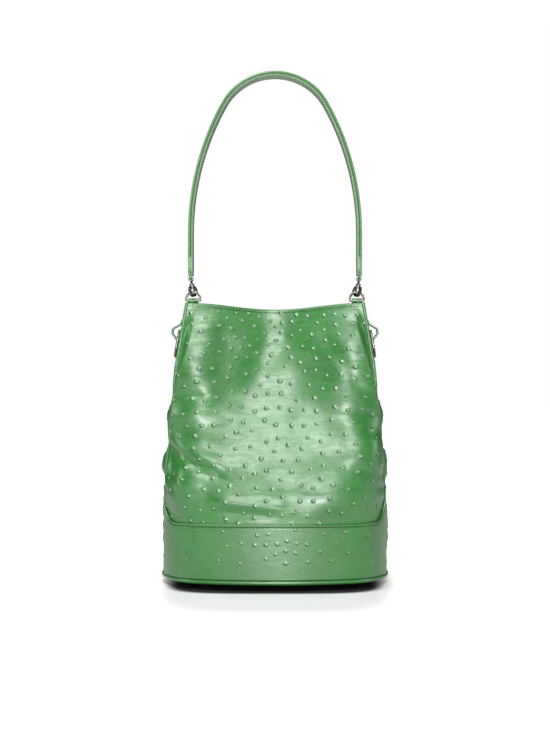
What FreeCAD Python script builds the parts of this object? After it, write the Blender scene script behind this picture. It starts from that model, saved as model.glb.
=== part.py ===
"""A bucket bag of embossed leather, in millimetres, +Z up, standing on four metal feet.

+X is the bag's width, -Y its front. The origin is on the floor under the middle of the bag.
The leather walls are one surface: an oval base of tangent arcs that rises straight, then draws in
to a mouth with four seam corners, its front and back pinched at their middle by a magnetic snap.
"""
import FreeCAD, Part
import math
import os
import Sketcher

V = FreeCAD.Vector
OUT = "parts"

SIZES = [
    ("base_width", 223, "base oval, side to side"),
    ("base_depth", 150, "base oval, front to back"),
    ("corner_radius", 45, "arc at each corner of the base oval"),
    ("corner_in_x", 52.5, "corner arc's centre, in from the side"),
    ("corner_in_y", 53, "corner arc's centre, in from the front"),
    ("gusset_base", 46, "gusset's width at the base"),
    ("gusset_rim", 56, "gusset's width at the rim"),
    ("gusset_bulge", 1.3, "gusset's bulge at the rim"),
    ("rim_width", 174, "mouth, seam to seam"),
    ("rim_height", 276.5, "rim above the floor at the seams"),
    ("rim_dip", 6, "how far the middle of the front and back rims sinks"),
    ("mouth_gap", 18, "closed mouth at its middle, outside to outside"),
    ("pinch_reach", 0.6, "share of the rim that the pinch at its middle draws in"),
    ("upright_height", 72, "height to which the walls rise straight"),
    ("taper_power", 1.8, "how late the sides draw in"),
    ("lean_start", 0.1, "how softly the front and back start to lean in"),
    ("leather", 2, "wall panels"),
    ("band_leather", 1.6, "lower bands"),
    ("band_height", 64, "top of the band at its middle"),
    ("band_rise", 34, "how far the band sweeps up at a seam"),
    ("band_sweep", 30, "length of that sweep along the wall"),
    ("band_lap", 12, "how far a panel reaches down behind its band"),
    ("lining", 1, "lining"),
    ("facing", 1.2, "leather facing inside the rim"),
    ("facing_depth", 32, "facing's depth below the rim"),
    ("layer_gap", 0.3, "between layers that are sewn together"),
    ("lining_gap", 0.6, "between the leather and what lines it"),
    ("hair", 0.1, "between metal or glued faces that touch in use"),
    ("foot_height", 6, "foot below the base"),
    ("foot_radius", 6, "foot"),
    ("foot_flat", 4.6, "radius of the flat that a foot stands on"),
    ("foot_in_x", 36, "foot's middle, in from the side"),
    ("foot_in_y", 35, "foot's middle, in from the front"),
    ("shank_radius", 1.5, "foot's shank"),
    ("shank_play", 0.1, "round a shank in its holes"),
    ("washer_radius", 4.5, "washer that holds a foot"),
    ("washer", 0.8, "washer's thickness"),
    ("panel_lift", 0.2, "base panel above the top of the feet"),
    ("base_leather", 3, "base panel"),
    ("board", 2.5, "stiffener in the base"),
    ("base_welt", 2.3, "radius of the piping round the base"),
    ("base_welt_out", 1.5, "how far that piping stands out"),
    ("seam_welt", 1.7, "radius of the piping along a seam"),
    ("seam_welt_out", 0.9, "how far that piping stands out"),
    ("seam_room", 0.8, "from a piping or a corner to the edge of a layer"),
    ("snap_radius", 8.5, "magnetic snap"),
    ("snap_drop", 14, "snap's middle below the rim's middle"),
    ("snap_boss", 3.5, "stud of the snap"),
    ("snap_boss_height", 1.6, "stud's height"),
    ("snap_play", 0.1, "round the stud, and between the halves"),
    ("handle_in", 3, "strap's legs, in from the seams at the rim"),
    ("handle_rise", 231.5, "top of the strap above the rim"),
    ("crown_radius", 58, "strap's arc over the top"),
    ("spring_rise", 70.5, "where the legs start to lean in, above the rim"),
    ("strap_end_rise", 28, "lower end of the strap above the rim"),
    ("strap_width", 22, "strap, front to back"),
    ("strap_leather", 1.6, "each of the strap's two leathers"),
    ("strap_filler", 1.6, "filler between them"),
    ("strap_glue", 0.1, "between the strap's layers"),
    ("strap_tail", 18, "how far an end loop's tail runs up in the strap"),
    ("strap_loop_width", 9, "end loop, front to back"),
    ("loop_leather", 1.5, "leather round an eye's bar"),
    ("eye_rise", 25, "bar of the swivel eye above the rim"),
    ("eye_half", 6, "eye's side wires from the middle"),
    ("eye_drop", 3.6, "eye's lower wire below its bar"),
    ("eye_corner", 1.6, "eye's corners"),
    ("eye_wire", 1, "radius of the eye's wire"),
    ("post_radius", 1.2, "swivel post"),
    ("post_head", 1.7, "post's riveted head"),
    ("head_height", 0.8, "that head's thickness"),
    ("running_play", 0.05, "round a shaft that turns"),
    ("hook_lean", 8, "degrees that a hook leans in"),
    ("hook_turn", 32, "degrees that a hook is turned on its post"),
    ("hook_thick", 2.4, "hook's plate"),
    ("hook_collar", 2.6, "radius of the hook's collar"),
    ("collar_top", 5, "top of the collar below the eye's bar"),
    ("bow_top", 8.9, "top of the hook's opening below the bar"),
    ("bow_drop", 15.7, "bottom of the hook's opening below the bar"),
    ("bow_half", 3.5, "half of the hook's opening"),
    ("bow_wire", 2.4, "width of the hook's bow"),
    ("gate_pivot", 10.9, "gate's pin below the eye's bar"),
    ("gate_end", 14.5, "gate's lower end below the bar"),
    ("gate_gap", 0.3, "gap at the gate's end"),
    ("gate_width", 2.2, "gate in the plane of the hook"),
    ("gate_thick", 4, "gate across the plane of the hook"),
    ("gate_slot", 2.7, "slot in the gate for the hook's ear"),
    ("gate_slot_floor", 1.65, "slot's floor below the pin, before the gap"),
    ("gate_corner", 0.3, "gate's lower corners"),
    ("gate_pin", 0.5, "radius of the gate's pin"),
    ("rim_ring_half", 7, "rim ring, middle to side wire"),
    ("rim_ring_side", 0.01, "straight side of the rim ring"),
    ("rim_ring_corner", 1.5, "rim ring's lower corners"),
    ("rim_ring_wire", 1.1, "radius of the rim ring's wire"),
    ("rim_ring_in", 5.2, "rim ring's middle, in from the seams at the rim"),
    ("rim_ring_rise", 3.1, "rim ring's bar above the rim"),
    ("rim_tab_loop", 10, "width of the tab's loop on the ring"),
    ("rim_tab_leather", 1.4, "leather round that ring's bar"),
    ("rim_tab_tail", 2.4, "thickness of the tab's tail"),
    ("rim_tab_width", 14, "width of the tab's tail"),
    ("rim_tab_depth", 26, "tail's depth below the rim"),
    ("side_ring_half", 9, "side ring, middle to side wire"),
    ("side_ring_side", 14.5, "straight side of the side ring"),
    ("side_ring_corner", 2.2, "side ring's upper corners"),
    ("side_ring_wire", 1.25, "radius of the side ring's wire"),
    ("side_ring_up", 2, "side ring's bar above the tab's middle"),
    ("side_tab_drop", 29.5, "side tab's middle below the rim"),
    ("side_tab_width", 14, "side tab, front to back"),
    ("side_tab_leather", 1.5, "side tab's leather"),
    ("side_tab_reach", 9.5, "how far the side tab bulges out"),
    ("side_tab_foot", 13.5, "side tab's middle to the end of a foot"),
    ("side_tab_bend", 10, "side tab's middle to where it leaves the wall"),
    ("side_tab_low", 1.5, "lower end of the bulge's outer face, below the tab's middle"),
    ("side_tab_high", 3.5, "upper end of that face, above the tab's middle"),
    ("side_tab_step", 0.7, "from that face's ends to the ends of the face inside"),
    ("side_tab_spread", 1.3, "how much later the inside leaves the wall below"),
    ("side_tab_crease", 2, "bend where the tab leaves the wall"),
    ("side_tab_round", 2.5, "outer bends of the bulge"),
    ("side_tab_inside", 1.2, "inner bends of the bulge"),
    ("stub", 0.01, "straight stub left between two arcs"),
]

doc = FreeCAD.newDocument("BucketBag")
sheet = doc.addObject("Spreadsheet::Sheet", "Sizes")
for row, (alias, value, meaning) in enumerate(SIZES, 1):
    sheet.set(f"A{row}", alias)
    sheet.set(f"B{row}", str(value))
    sheet.set(f"C{row}", meaning)
    sheet.setAlias(f"B{row}", alias)
doc.recompute()

NODES = []


def size(alias):
    """A driving dimension, read from the sheet."""
    return float(sheet.get(alias))


# ---------------------------------------------------------------- sketches and bodies


def new_body(name):
    """A parametric body that is a sub-part, named after its node."""
    body = doc.addObject("PartDesign::Body", name)
    body.Label = name
    NODES.append(body)
    return body


def new_feature(name, shape, placement=None):
    """A sub-part whose shape is worked out by this file."""
    feature = doc.addObject("Part::Feature", name)
    feature.Label = name
    feature.Shape = shape
    if placement is not None:
        feature.Placement = placement
    NODES.append(feature)
    return feature


def new_sketch(body, role, height=None):
    """A sketch on one of the body's origin planes, lifted off it by an expression."""
    sketch = body.newObject("Sketcher::SketchObject", f"{body.Name}_sketch")
    plane = next(f for f in body.Origin.OriginFeatures if f.Role == role)
    sketch.AttachmentSupport = [(plane, "")]
    sketch.MapMode = "FlatFace"
    if height is not None:
        sketch.setExpression("AttachmentOffset.Base.z", height)
    return sketch


def bind(sketch, constraint, expression):
    """Adds a dimension to a sketch and ties it to the sheet."""
    index = sketch.addConstraint(constraint)
    sketch.setExpression(f"Constraints[{index}]", expression)


def circle(sketch, x, y, radius):
    """A circle whose middle and radius are expressions."""
    middle = V(float(sketch.evalExpression(x)), float(sketch.evalExpression(y)), 0)
    start = float(sketch.evalExpression(radius))
    geometry = sketch.addGeometry(Part.Circle(middle, V(0, 0, 1), start))
    bind(sketch, Sketcher.Constraint("Radius", geometry, start), radius)
    for kind, value, expression in (("DistanceX", middle.x, x), ("DistanceY", middle.y, y)):
        if value == 0:
            axis = -2 if kind == "DistanceX" else -1
            sketch.addConstraint(Sketcher.Constraint("PointOnObject", geometry, 3, axis))
        else:
            bind(sketch, Sketcher.Constraint(kind, -1, 1, geometry, 3, value), expression)


def outline(sketch, corners):
    """A closed outline with straight sides and rounded corners.

    Each corner is (x, y, radius) as expressions; a radius of "" leaves it sharp.
    """
    points = [V(float(sketch.evalExpression(x)), float(sketch.evalExpression(y)), 0) for x, y, _ in corners]
    radii = [float(sketch.evalExpression(r)) if r else 0.0 for _, _, r in corners]
    arcs = []
    for i, point in enumerate(points):
        before = (points[i - 1] - point).normalize()
        after = (points[(i + 1) % len(points)] - point).normalize()
        half = before.getAngle(after) / 2
        cut = radii[i] / math.tan(half)
        inward = (before + after).normalize()
        near = inward * (radii[i] / math.sin(half) - radii[i])
        arcs.append((point + before * cut, point + near, point + after * cut))
    for i, (first, _, last) in enumerate(arcs):
        following, middle, end = arcs[(i + 1) % len(arcs)]
        sketch.addGeometry(Part.LineSegment(last, following))
        turn = (i + 1) % len(arcs)
        if radii[turn]:
            arc = sketch.addGeometry(Part.Arc(following, middle, end))
            bind(sketch, Sketcher.Constraint("Radius", arc, radii[turn]), corners[turn][2])
    sketch.recompute()


def pad(body, sketch, length, symmetric=True):
    """Pads a sketch by an expression."""
    made = body.newObject("PartDesign::Pad", f"{body.Name}_pad")
    made.Profile = sketch
    made.SideType = "Symmetric" if symmetric else "One side"
    made.setExpression("Length", length)
    return made


def pocket(body, sketch, length):
    """Cuts a sketch through the body, both ways from its plane."""
    made = body.newObject("PartDesign::Pocket", f"{body.Name}_pocket")
    made.Profile = sketch
    made.SideType = "Symmetric"
    made.setExpression("Length", length)
    return made


def revolve(body, corners, role="XZ_Plane"):
    """Turns an outline in the XZ plane once round Z."""
    sketch = new_sketch(body, role)
    outline(sketch, corners)
    made = body.newObject("PartDesign::Revolution", f"{body.Name}_turned")
    made.Profile = sketch
    made.ReferenceAxis = (sketch, ["V_Axis"])
    made.Angle = 360
    return made


def pipe(body, spine, section):
    """Sweeps one sketch along another."""
    made = body.newObject("PartDesign::AdditivePipe", f"{body.Name}_pipe")
    made.Profile = section
    made.Spine = (spine, [])
    made.Mode = "Frenet"
    return made


# ---------------------------------------------------------------- the shell's surface

BASE_X = size("base_width") / 2
BASE_Y = size("base_depth") / 2
CORNER = size("corner_radius")
CORNER_X = BASE_X - size("corner_in_x")
CORNER_Y = BASE_Y - size("corner_in_y")
RIM_X = size("rim_width") / 2
RIM_Y = size("gusset_rim") / 2
LEATHER = size("leather")
GAP = size("layer_gap")
WALL_FOOT = size("foot_height") + size("panel_lift") + 2 * size("base_welt") + size("hair")
LINING_FOOT = WALL_FOOT + size("board") / 2
WIDE_COLUMNS, NARROW_COLUMNS = 41, 11
WALL_ROWS, STRIP_ROWS, PIPING_ROWS = 22, 6, 10


def touching_radius(along, across):
    """Radius of the arc that runs into both corner arcs of one side of the oval.

    along is half the distance between the corner arcs' centres, across how far they lie in.
    """
    return (along**2 + across**2 - CORNER**2) / (2 * (across - CORNER))


FRONT_RADIUS = touching_radius(CORNER_X, size("corner_in_y"))
SIDE_RADIUS = touching_radius(CORNER_Y, size("corner_in_x"))
FRONT_ANGLE = math.atan2(CORNER_X, FRONT_RADIUS - size("corner_in_y"))
SIDE_ANGLE = math.atan2(CORNER_Y, SIDE_RADIUS - size("corner_in_x"))
SEAM_ANGLE = math.asin(size("gusset_base") / 2 / SIDE_RADIUS)
FRONT_RUN = FRONT_RADIUS * FRONT_ANGLE
CORNER_RUN = CORNER * (math.pi / 2 - FRONT_ANGLE - SIDE_ANGLE)
BASE_RUN = FRONT_RUN + CORNER_RUN + SIDE_RADIUS * (SIDE_ANGLE - SEAM_ANGLE)


def base_front(share):
    """Point of the base oval on the front panel, share -1 to 1 from left seam to right seam."""
    run = abs(share) * BASE_RUN
    if run < FRONT_RUN:
        angle = run / FRONT_RADIUS
        x = FRONT_RADIUS * math.sin(angle)
        y = FRONT_RADIUS * (1 - math.cos(angle)) - BASE_Y
    elif run < FRONT_RUN + CORNER_RUN:
        angle = FRONT_ANGLE + (run - FRONT_RUN) / CORNER
        x = CORNER_X + CORNER * math.sin(angle)
        y = -CORNER_Y - CORNER * math.cos(angle)
    else:
        angle = SIDE_ANGLE - (run - FRONT_RUN - CORNER_RUN) / SIDE_RADIUS
        x = BASE_X - SIDE_RADIUS * (1 - math.cos(angle))
        y = -SIDE_RADIUS * math.sin(angle)
    return math.copysign(x, share), y


def rim_height(side, share):
    """Height of the rim: the front and back sink towards their middles."""
    if side in ("left", "right"):
        return size("rim_height")
    return size("rim_height") - size("rim_dip") * math.cos(math.pi / 2 * share) ** 2


def drawn_in(side, share, z):
    """How far the wall has drawn in at a height, 0 at the base and 1 at the rim: (in x, in y)."""
    low = size("upright_height")
    t = min(max((z - low) / (rim_height(side, share) - low), 0), 1)
    soft = size("lean_start")
    lean = (math.hypot(t, soft) - soft) / (math.hypot(1, soft) - soft)
    return t ** size("taper_power"), lean


def outer_xy(side, share, z):
    """Plan position of the leather's outer face, share -1 to 1 from seam to seam."""
    in_x, in_y = drawn_in(side, share, z)
    if side in ("front", "back"):
        base_x, base_y = base_front(share)
        rim_x = share * RIM_X
        pinched = math.exp(-((share / size("pinch_reach")) ** 2))
        rim_y = -RIM_Y + (RIM_Y - size("mouth_gap") / 2) * pinched
    else:
        angle = SEAM_ANGLE * share
        base_x = BASE_X - SIDE_RADIUS * (1 - math.cos(angle))
        base_y = SIDE_RADIUS * math.sin(angle)
        rim_x = RIM_X + size("gusset_bulge") * (1 - share**2)
        rim_y = RIM_Y * share
    x = base_x + (rim_x - base_x) * in_x
    y = base_y + (rim_y - base_y) * in_y
    return (-x if side == "left" else x), (-y if side == "back" else y)


def wall_point(side, share, z, depth):
    """A point of a wall, depth millimetres inside the leather's outer face, measured level."""
    step = 0.001
    low, high = max(share - step, -1), min(share + step, 1)
    x0, y0 = outer_xy(side, low, z)
    x1, y1 = outer_xy(side, high, z)
    along = V(x1 - x0, y1 - y0, 0).normalize()
    inward = V(-along.y, along.x, 0)
    x, y = outer_xy(side, share, z)
    if side in ("back", "right"):
        turned = -1 if side == "back" else 1
        inward = inward * turned
    if side == "left":
        inward = inward * -1
    return V(x, y, z) + inward * depth


def seam_turn(z):
    """Angle that the wall turns through at a seam, from nothing at the base to a corner at the rim."""
    x, y = outer_xy("right", -1, z)
    panel = wall_point("front", 1, z, 1) - V(x, y, z)
    gusset = wall_point("right", -1, z, 1) - V(x, y, z)
    return panel.getAngle(gusset)


def seam_share(side, z, depth):
    """Share at which a layer that reaches this depth stops, clear of the piping and of its neighbour."""
    room = max(size("seam_welt"), depth * math.tan(seam_turn(z) / 2)) + size("seam_room")
    step = 0.02
    x0, y0 = outer_xy(side, 1 - step, z)
    x1, y1 = outer_xy(side, 1, z)
    return 1 - room * step / math.hypot(x1 - x0, y1 - y0)


def surface_sheet(points):
    """A smooth surface through a grid of points, and its four edges."""
    surface = Part.BSplineSurface()
    surface.interpolate(points)
    u0, u1, v0, v1 = surface.bounds()
    edges = [surface.uIso(u0), surface.uIso(u1), surface.vIso(v0), surface.vIso(v1)]
    return surface.toShape(), [edge.toShape() for edge in edges]


def wall_solid(side, low, high, depth, thickness, rows=WALL_ROWS):
    """A layer of one wall between two heights, each a function of share, short of the seams."""
    columns = WIDE_COLUMNS if side in ("front", "back") else NARROW_COLUMNS

    def point(row, column, at):
        share = -1 + 2 * column / (columns - 1)
        z = low(share) + (high(share) - low(share)) * row / (rows - 1)
        share *= seam_share(side, z, depth + thickness)
        return wall_point(side, share, z, at)

    outer, outer_edges = surface_sheet(
        [[point(row, column, depth) for column in range(columns)] for row in range(rows)]
    )
    inner, inner_edges = surface_sheet(
        [[point(row, column, depth + thickness) for column in range(columns)] for row in range(rows)]
    )
    sides = [Part.makeRuledSurface(a, b) for a, b in zip(outer_edges, inner_edges)]
    shell = Part.makeShell([outer, inner] + sides)
    shell.sewShape()
    solid = Part.makeSolid(shell)
    if solid.Volume < 0:
        solid.reverse()
    return solid


def level(height):
    """A height that is the same all along a wall."""
    return lambda share: height


def band_top(less=0):
    """The band's upper edge, or a line below it: level, sweeping up before each seam."""

    def height(share):
        short = size("band_sweep") - (1 - abs(share)) * BASE_RUN
        return size("band_height") - less + size("band_rise") * max(short / size("band_sweep"), 0) ** 3

    return height


def rim_less(side, depth):
    """A height that stays a set depth below the rim."""
    return lambda share: rim_height(side, share) - depth


# ---------------------------------------------------------------- leather, lining and facings


def make_walls():
    """Panels, bands, lining walls and rim facings, one of each to a side."""
    under = LEATHER + size("lining_gap")
    for side in ("front", "back", "left", "right"):
        top = rim_less(side, 0)
        if side in ("front", "back"):
            edge = band_top()
            lap = band_top(less=size("band_lap"))
            new_feature(f"{side}_panel", wall_solid(side, lap, top, 0, LEATHER))
            out = -GAP - size("hair") - size("band_leather")
            band = wall_solid(side, level(WALL_FOOT), edge, out, size("band_leather"), rows=STRIP_ROWS)
            new_feature(f"{side}_band", band)
        else:
            new_feature(f"{side}_gusset", wall_solid(side, level(WALL_FOOT), top, 0, LEATHER))
        join = rim_less(side, size("facing_depth") + GAP)
        new_feature(f"{side}_lining", wall_solid(side, level(LINING_FOOT), join, under, size("lining")))
        start = rim_less(side, size("facing_depth"))
        new_feature(f"{side}_facing", wall_solid(side, start, top, under, size("facing"), rows=STRIP_ROWS))


def seam_spot(across, along, z):
    """Middle of a seam's piping at a height, in from where the two outer faces would meet."""
    side = "left" if across < 0 else "right"
    wide = "front" if along < 0 else "back"
    x, y = outer_xy(side, 1 if along > 0 else -1, z)
    gusset = wall_point(side, 1 if along > 0 else -1, z, 1) - V(x, y, z)
    panel = wall_point(wide, 1 if across > 0 else -1, z, 1) - V(x, y, z)
    inward = (gusset + panel).normalize()
    return V(x, y, z) + inward * (size("seam_welt") - size("seam_welt_out"))


def make_seam_pipings():
    """Four pipings, each a loft of level circles up a seam."""
    for wide, along in (("front", -1), ("back", 1)):
        for side, across in (("left", -1), ("right", 1)):
            sections = []
            for row in range(PIPING_ROWS):
                z = WALL_FOOT + (size("rim_height") - WALL_FOOT) * row / (PIPING_ROWS - 1)
                ring = Part.makeCircle(size("seam_welt"), seam_spot(across, along, z))
                sections.append(Part.Wire([ring]))
            new_feature(f"{wide}_{side}_piping", Part.makeLoft(sections, True))


# ---------------------------------------------------------------- base


def oval(sketch, inset):
    """The base oval of eight tangent arcs, drawn in by an expression."""
    less = float(sketch.evalExpression(inset))
    front, side, corner = FRONT_RADIUS - less, SIDE_RADIUS - less, CORNER - less
    front_y, side_x = FRONT_RADIUS - BASE_Y, BASE_X - SIDE_RADIUS
    arcs = []

    def arc(x, y, radius, middle, spread):
        shape = Part.Circle(V(x, y, 0), V(0, 0, 1), radius)
        first, last = math.radians(middle) - spread, math.radians(middle) + spread
        arcs.append(sketch.addGeometry(Part.ArcOfCircle(shape, first, last)))
        return arcs[-1]

    turn = (math.pi / 2 - FRONT_ANGLE - SIDE_ANGLE) / 2
    tilt = math.degrees((SIDE_ANGLE - FRONT_ANGLE) / 2)
    arc(side_x, 0, side, 0, SIDE_ANGLE)
    arc(CORNER_X, CORNER_Y, corner, 45 + tilt, turn)
    arc(0, -front_y, front, 90, FRONT_ANGLE)
    arc(-CORNER_X, CORNER_Y, corner, 135 - tilt, turn)
    arc(-side_x, 0, side, 180, SIDE_ANGLE)
    arc(-CORNER_X, -CORNER_Y, corner, 225 + tilt, turn)
    arc(0, front_y, front, 270, FRONT_ANGLE)
    arc(CORNER_X, -CORNER_Y, corner, 315 - tilt, turn)
    for index in (1, 3, 5, 7):
        geometry = arcs[index]
        bind(sketch, Sketcher.Constraint("Radius", geometry, corner), f"Sizes.corner_radius - ({inset})")
    sketch.recompute()


def foot_spots():
    """Where the four feet stand, as expressions."""
    x = "(Sizes.base_width / 2 - Sizes.foot_in_x)"
    y = "(Sizes.base_depth / 2 - Sizes.foot_in_y)"
    return [(f"{a}{x}", f"{b}{y}") for a in ("", "-") for b in ("", "-")]


def base_sheet(name, inset, height, thickness, holes):
    """A flat piece with the base's outline, with or without holes for the feet."""
    body = new_body(name)
    sketch = new_sketch(body, "XY_Plane", height)
    oval(sketch, inset)
    for x, y in foot_spots() if holes else []:
        circle(sketch, x, y, "Sizes.shank_radius + Sizes.shank_play")
    pad(body, sketch, thickness, symmetric=False)


BOARD_FOOT = "Sizes.foot_height + Sizes.panel_lift + Sizes.base_leather + Sizes.layer_gap"
WASHER_FOOT = f"{BOARD_FOOT} + Sizes.board + Sizes.hair"
FLOOR_FOOT = f"{WASHER_FOOT} + Sizes.washer + Sizes.layer_gap"


def make_base():
    """Base panel, stiffener, lining floor, piping, feet and their washers."""
    inside = "Sizes.leather + Sizes.lining_gap + Sizes.lining + Sizes.lining_gap"
    panel_inset = "2 * Sizes.base_welt - Sizes.base_welt_out + Sizes.layer_gap"
    base_sheet("base_panel", panel_inset, "Sizes.foot_height + Sizes.panel_lift", "Sizes.base_leather", True)
    base_sheet("base_board", f"{inside} + Sizes.hair", BOARD_FOOT, "Sizes.board", True)
    base_sheet("lining_bottom", inside, FLOOR_FOOT, "Sizes.lining", False)

    body = new_body("base_piping")
    middle = "Sizes.foot_height + Sizes.panel_lift + Sizes.base_welt"
    spine = new_sketch(body, "XY_Plane", middle)
    oval(spine, "Sizes.base_welt - Sizes.base_welt_out")
    section = new_sketch(body, "XZ_Plane")
    side = "Sizes.base_width / 2 - Sizes.base_welt + Sizes.base_welt_out"
    circle(section, side, middle, "Sizes.base_welt")
    pipe(body, spine, section)

    foot = doc.addObject("PartDesign::Body", "foot")
    top = f"{WASHER_FOOT} + Sizes.washer + Sizes.hair"
    revolve(
        foot,
        [
            ("0", "0", ""),
            ("Sizes.foot_flat", "0", ""),
            ("Sizes.foot_radius", "Sizes.foot_height / 2", ""),
            ("Sizes.foot_radius", "Sizes.foot_height", ""),
            ("Sizes.shank_radius", "Sizes.foot_height", ""),
            ("Sizes.shank_radius", top, ""),
            ("0", top, ""),
        ],
    )
    washer = doc.addObject("PartDesign::Body", "washer")
    sketch = new_sketch(washer, "XY_Plane", WASHER_FOOT)
    circle(sketch, "0", "0", "Sizes.washer_radius")
    circle(sketch, "0", "0", "Sizes.shank_radius + Sizes.shank_play")
    pad(washer, sketch, "Sizes.washer", symmetric=False)
    doc.recompute()
    for name, source in (("base_feet", foot), ("foot_washers", washer)):
        copies = []
        for x, y in foot_spots():
            spot = V(float(sheet.evalExpression(x)), float(sheet.evalExpression(y)), 0)
            copies.append(source.Shape.translated(spot))
        new_feature(name, Part.makeCompound(copies))


# ---------------------------------------------------------------- closure


def make_snap():
    """The magnetic snap between the two facings: a stud on the front half, a socket on the back."""
    z = size("rim_height") - size("rim_dip") - size("snap_drop")
    lowest = z + size("snap_radius")
    inner = LEATHER + size("lining_gap") + size("facing") + GAP
    face = -wall_point("front", 0, lowest, inner).y
    half_gap = size("snap_play") / 2
    radius, boss = size("snap_radius"), size("snap_boss")
    rise = size("snap_boss_height")
    towards_back = V(0, 1, 0)
    stud = Part.makeCylinder(radius, face - half_gap, V(0, -face, z), towards_back)
    pin = Part.makeCylinder(boss, rise + 2 * half_gap, V(0, -half_gap - half_gap, z), towards_back)
    new_feature("snap_stud", stud.fuse(pin).removeSplitter())
    socket = Part.makeCylinder(radius, face - half_gap, V(0, half_gap, z), towards_back)
    well = Part.makeCylinder(boss + size("snap_play"), rise + 2 * half_gap, V(0, 0, z), towards_back)
    new_feature("snap_socket", socket.cut(well))


# ---------------------------------------------------------------- handle

STRAP_HALF = size("strap_filler") / 2 + size("strap_glue") + size("strap_leather")
RIM = size("rim_height")
CROWN_Y = RIM + size("handle_rise") - STRAP_HALF - size("crown_radius")
SPRING_HEIGHT = RIM + size("spring_rise")
HALF_SPAN = RIM_X - size("handle_in")
LIFT = CROWN_Y - SPRING_HEIGHT
LEG_RADIUS = (HALF_SPAN**2 + LIFT**2 - size("crown_radius") ** 2) / (2 * (HALF_SPAN - size("crown_radius")))
LEG_ANGLE = math.atan2(LIFT, LEG_RADIUS - HALF_SPAN)


def strap_edges(out, foot):
    """Half of one face of the strap, from a leg's foot to the top, out from the middle line."""
    centre_x = HALF_SPAN - LEG_RADIUS
    spring = SPRING_HEIGHT
    bottom = V(HALF_SPAN + out, foot, 0)
    start = V(HALF_SPAN + out, spring, 0)
    leg = Part.Circle(V(centre_x, spring, 0), V(0, 0, 1), LEG_RADIUS + out)
    crown = Part.Circle(V(0, CROWN_Y, 0), V(0, 0, 1), size("crown_radius") + out)
    return [
        Part.LineSegment(bottom, start),
        Part.ArcOfCircle(leg, 0, LEG_ANGLE),
        Part.ArcOfCircle(crown, LEG_ANGLE, math.pi - LEG_ANGLE),
    ]


def strap_layer(name, inner, outer, foot):
    """One layer of the strap, between two distances from its middle line, given as expressions."""
    body = new_body(name)
    sketch = new_sketch(body, "XZ_Plane")
    mirror_leg = math.pi - LEG_ANGLE
    outs = [float(sheet.evalExpression(expression)) for expression in (inner, outer)]
    for out, expression in zip(outs, (inner, outer)):
        line, leg, crown = strap_edges(out, foot)
        sketch.addGeometry([line, leg])
        arc = sketch.addGeometry(crown)
        radius = size("crown_radius") + out
        bind(sketch, Sketcher.Constraint("Radius", arc, radius), f"Sizes.crown_radius + ({expression})")
        other = Part.Circle(V(LEG_RADIUS - HALF_SPAN, SPRING_HEIGHT, 0), V(0, 0, 1), LEG_RADIUS + out)
        sketch.addGeometry(Part.ArcOfCircle(other, mirror_leg, math.pi))
        left = V(-HALF_SPAN - out, 0, 0)
        sketch.addGeometry(Part.LineSegment(left + V(0, SPRING_HEIGHT, 0), left + V(0, foot, 0)))
    for sign in (-1, 1):
        ends = [V(sign * (HALF_SPAN + out), foot, 0) for out in outs]
        sketch.addGeometry(Part.LineSegment(*ends))
    pad(body, sketch, "Sizes.strap_width")


def make_strap():
    """Outer leather, filler and lining leather, one over the other."""
    filler = "Sizes.strap_filler / 2"
    skin = f"{filler} + Sizes.strap_glue"
    face = f"{skin} + Sizes.strap_leather"
    end = RIM + size("strap_end_rise")
    strap_layer("strap_outer", skin, face, end)
    strap_layer("strap_lining", f"-({face})", f"-({skin})", end)
    strap_layer("strap_core", f"-{filler}", filler, end + size("strap_tail") + GAP)


def group_placement(sign, turn=False):
    """Where a hook group sits: its origin is the middle of the eye's bar."""
    lean = FreeCAD.Rotation(V(0, 1, 0), sign * size("hook_lean"))
    spin = FreeCAD.Rotation(V(0, 0, 1), sign * size("hook_turn") if turn else 0)
    return FreeCAD.Placement(V(sign * HALF_SPAN, 0, RIM + size("eye_rise")), lean.multiply(spin))


def make_strap_end(name, sign):
    """The leather loop that holds the eye's bar, its tail glued up inside the strap."""
    body = new_body(name)
    sleeve = "Sizes.eye_wire + Sizes.running_play"
    round_bar = new_sketch(body, "XZ_Plane")
    circle(round_bar, "0", "0", f"{sleeve} + Sizes.loop_leather")
    pad(body, round_bar, "Sizes.strap_loop_width")
    tail = new_sketch(body, "XZ_Plane")
    top = "Sizes.strap_end_rise - Sizes.eye_rise + Sizes.strap_tail"
    half = "Sizes.strap_filler / 2"
    outline(tail, [(f"-{half}", "0", ""), (half, "0", ""), (half, top, ""), (f"-{half}", top, "")])
    pad(body, tail, "Sizes.strap_loop_width")
    bore = new_sketch(body, "XZ_Plane")
    circle(bore, "0", "0", sleeve)
    pocket(body, bore, "2 * Sizes.strap_loop_width")
    body.Placement = FreeCAD.Placement(V(sign * HALF_SPAN, 0, RIM + size("eye_rise")), FreeCAD.Rotation())


def make_eye(name, sign):
    """The swivel eye: a wire loop with a post that turns in the hook's collar."""
    body = new_body(name)
    spine = new_sketch(body, "YZ_Plane")
    corner, drop, half = "Sizes.eye_corner", "-Sizes.eye_drop", "Sizes.eye_half"
    places = [(half, "0"), (f"-{half}", "0"), (f"-{half}", drop), (half, drop)]
    outline(spine, [(x, y, corner) for x, y in places])
    section = new_sketch(body, "XZ_Plane")
    circle(section, "0", "0", "Sizes.eye_wire")
    pipe(body, spine, section)
    head_top = "-(Sizes.bow_top + Sizes.hair)"
    end = f"{head_top} - Sizes.head_height"
    revolve(
        body,
        [
            ("0", drop, ""),
            ("Sizes.post_radius", drop, ""),
            ("Sizes.post_radius", head_top, ""),
            ("Sizes.post_head", head_top, ""),
            ("Sizes.post_head", end, ""),
            ("0", end, ""),
        ],
    )
    body.Placement = group_placement(sign)


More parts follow.
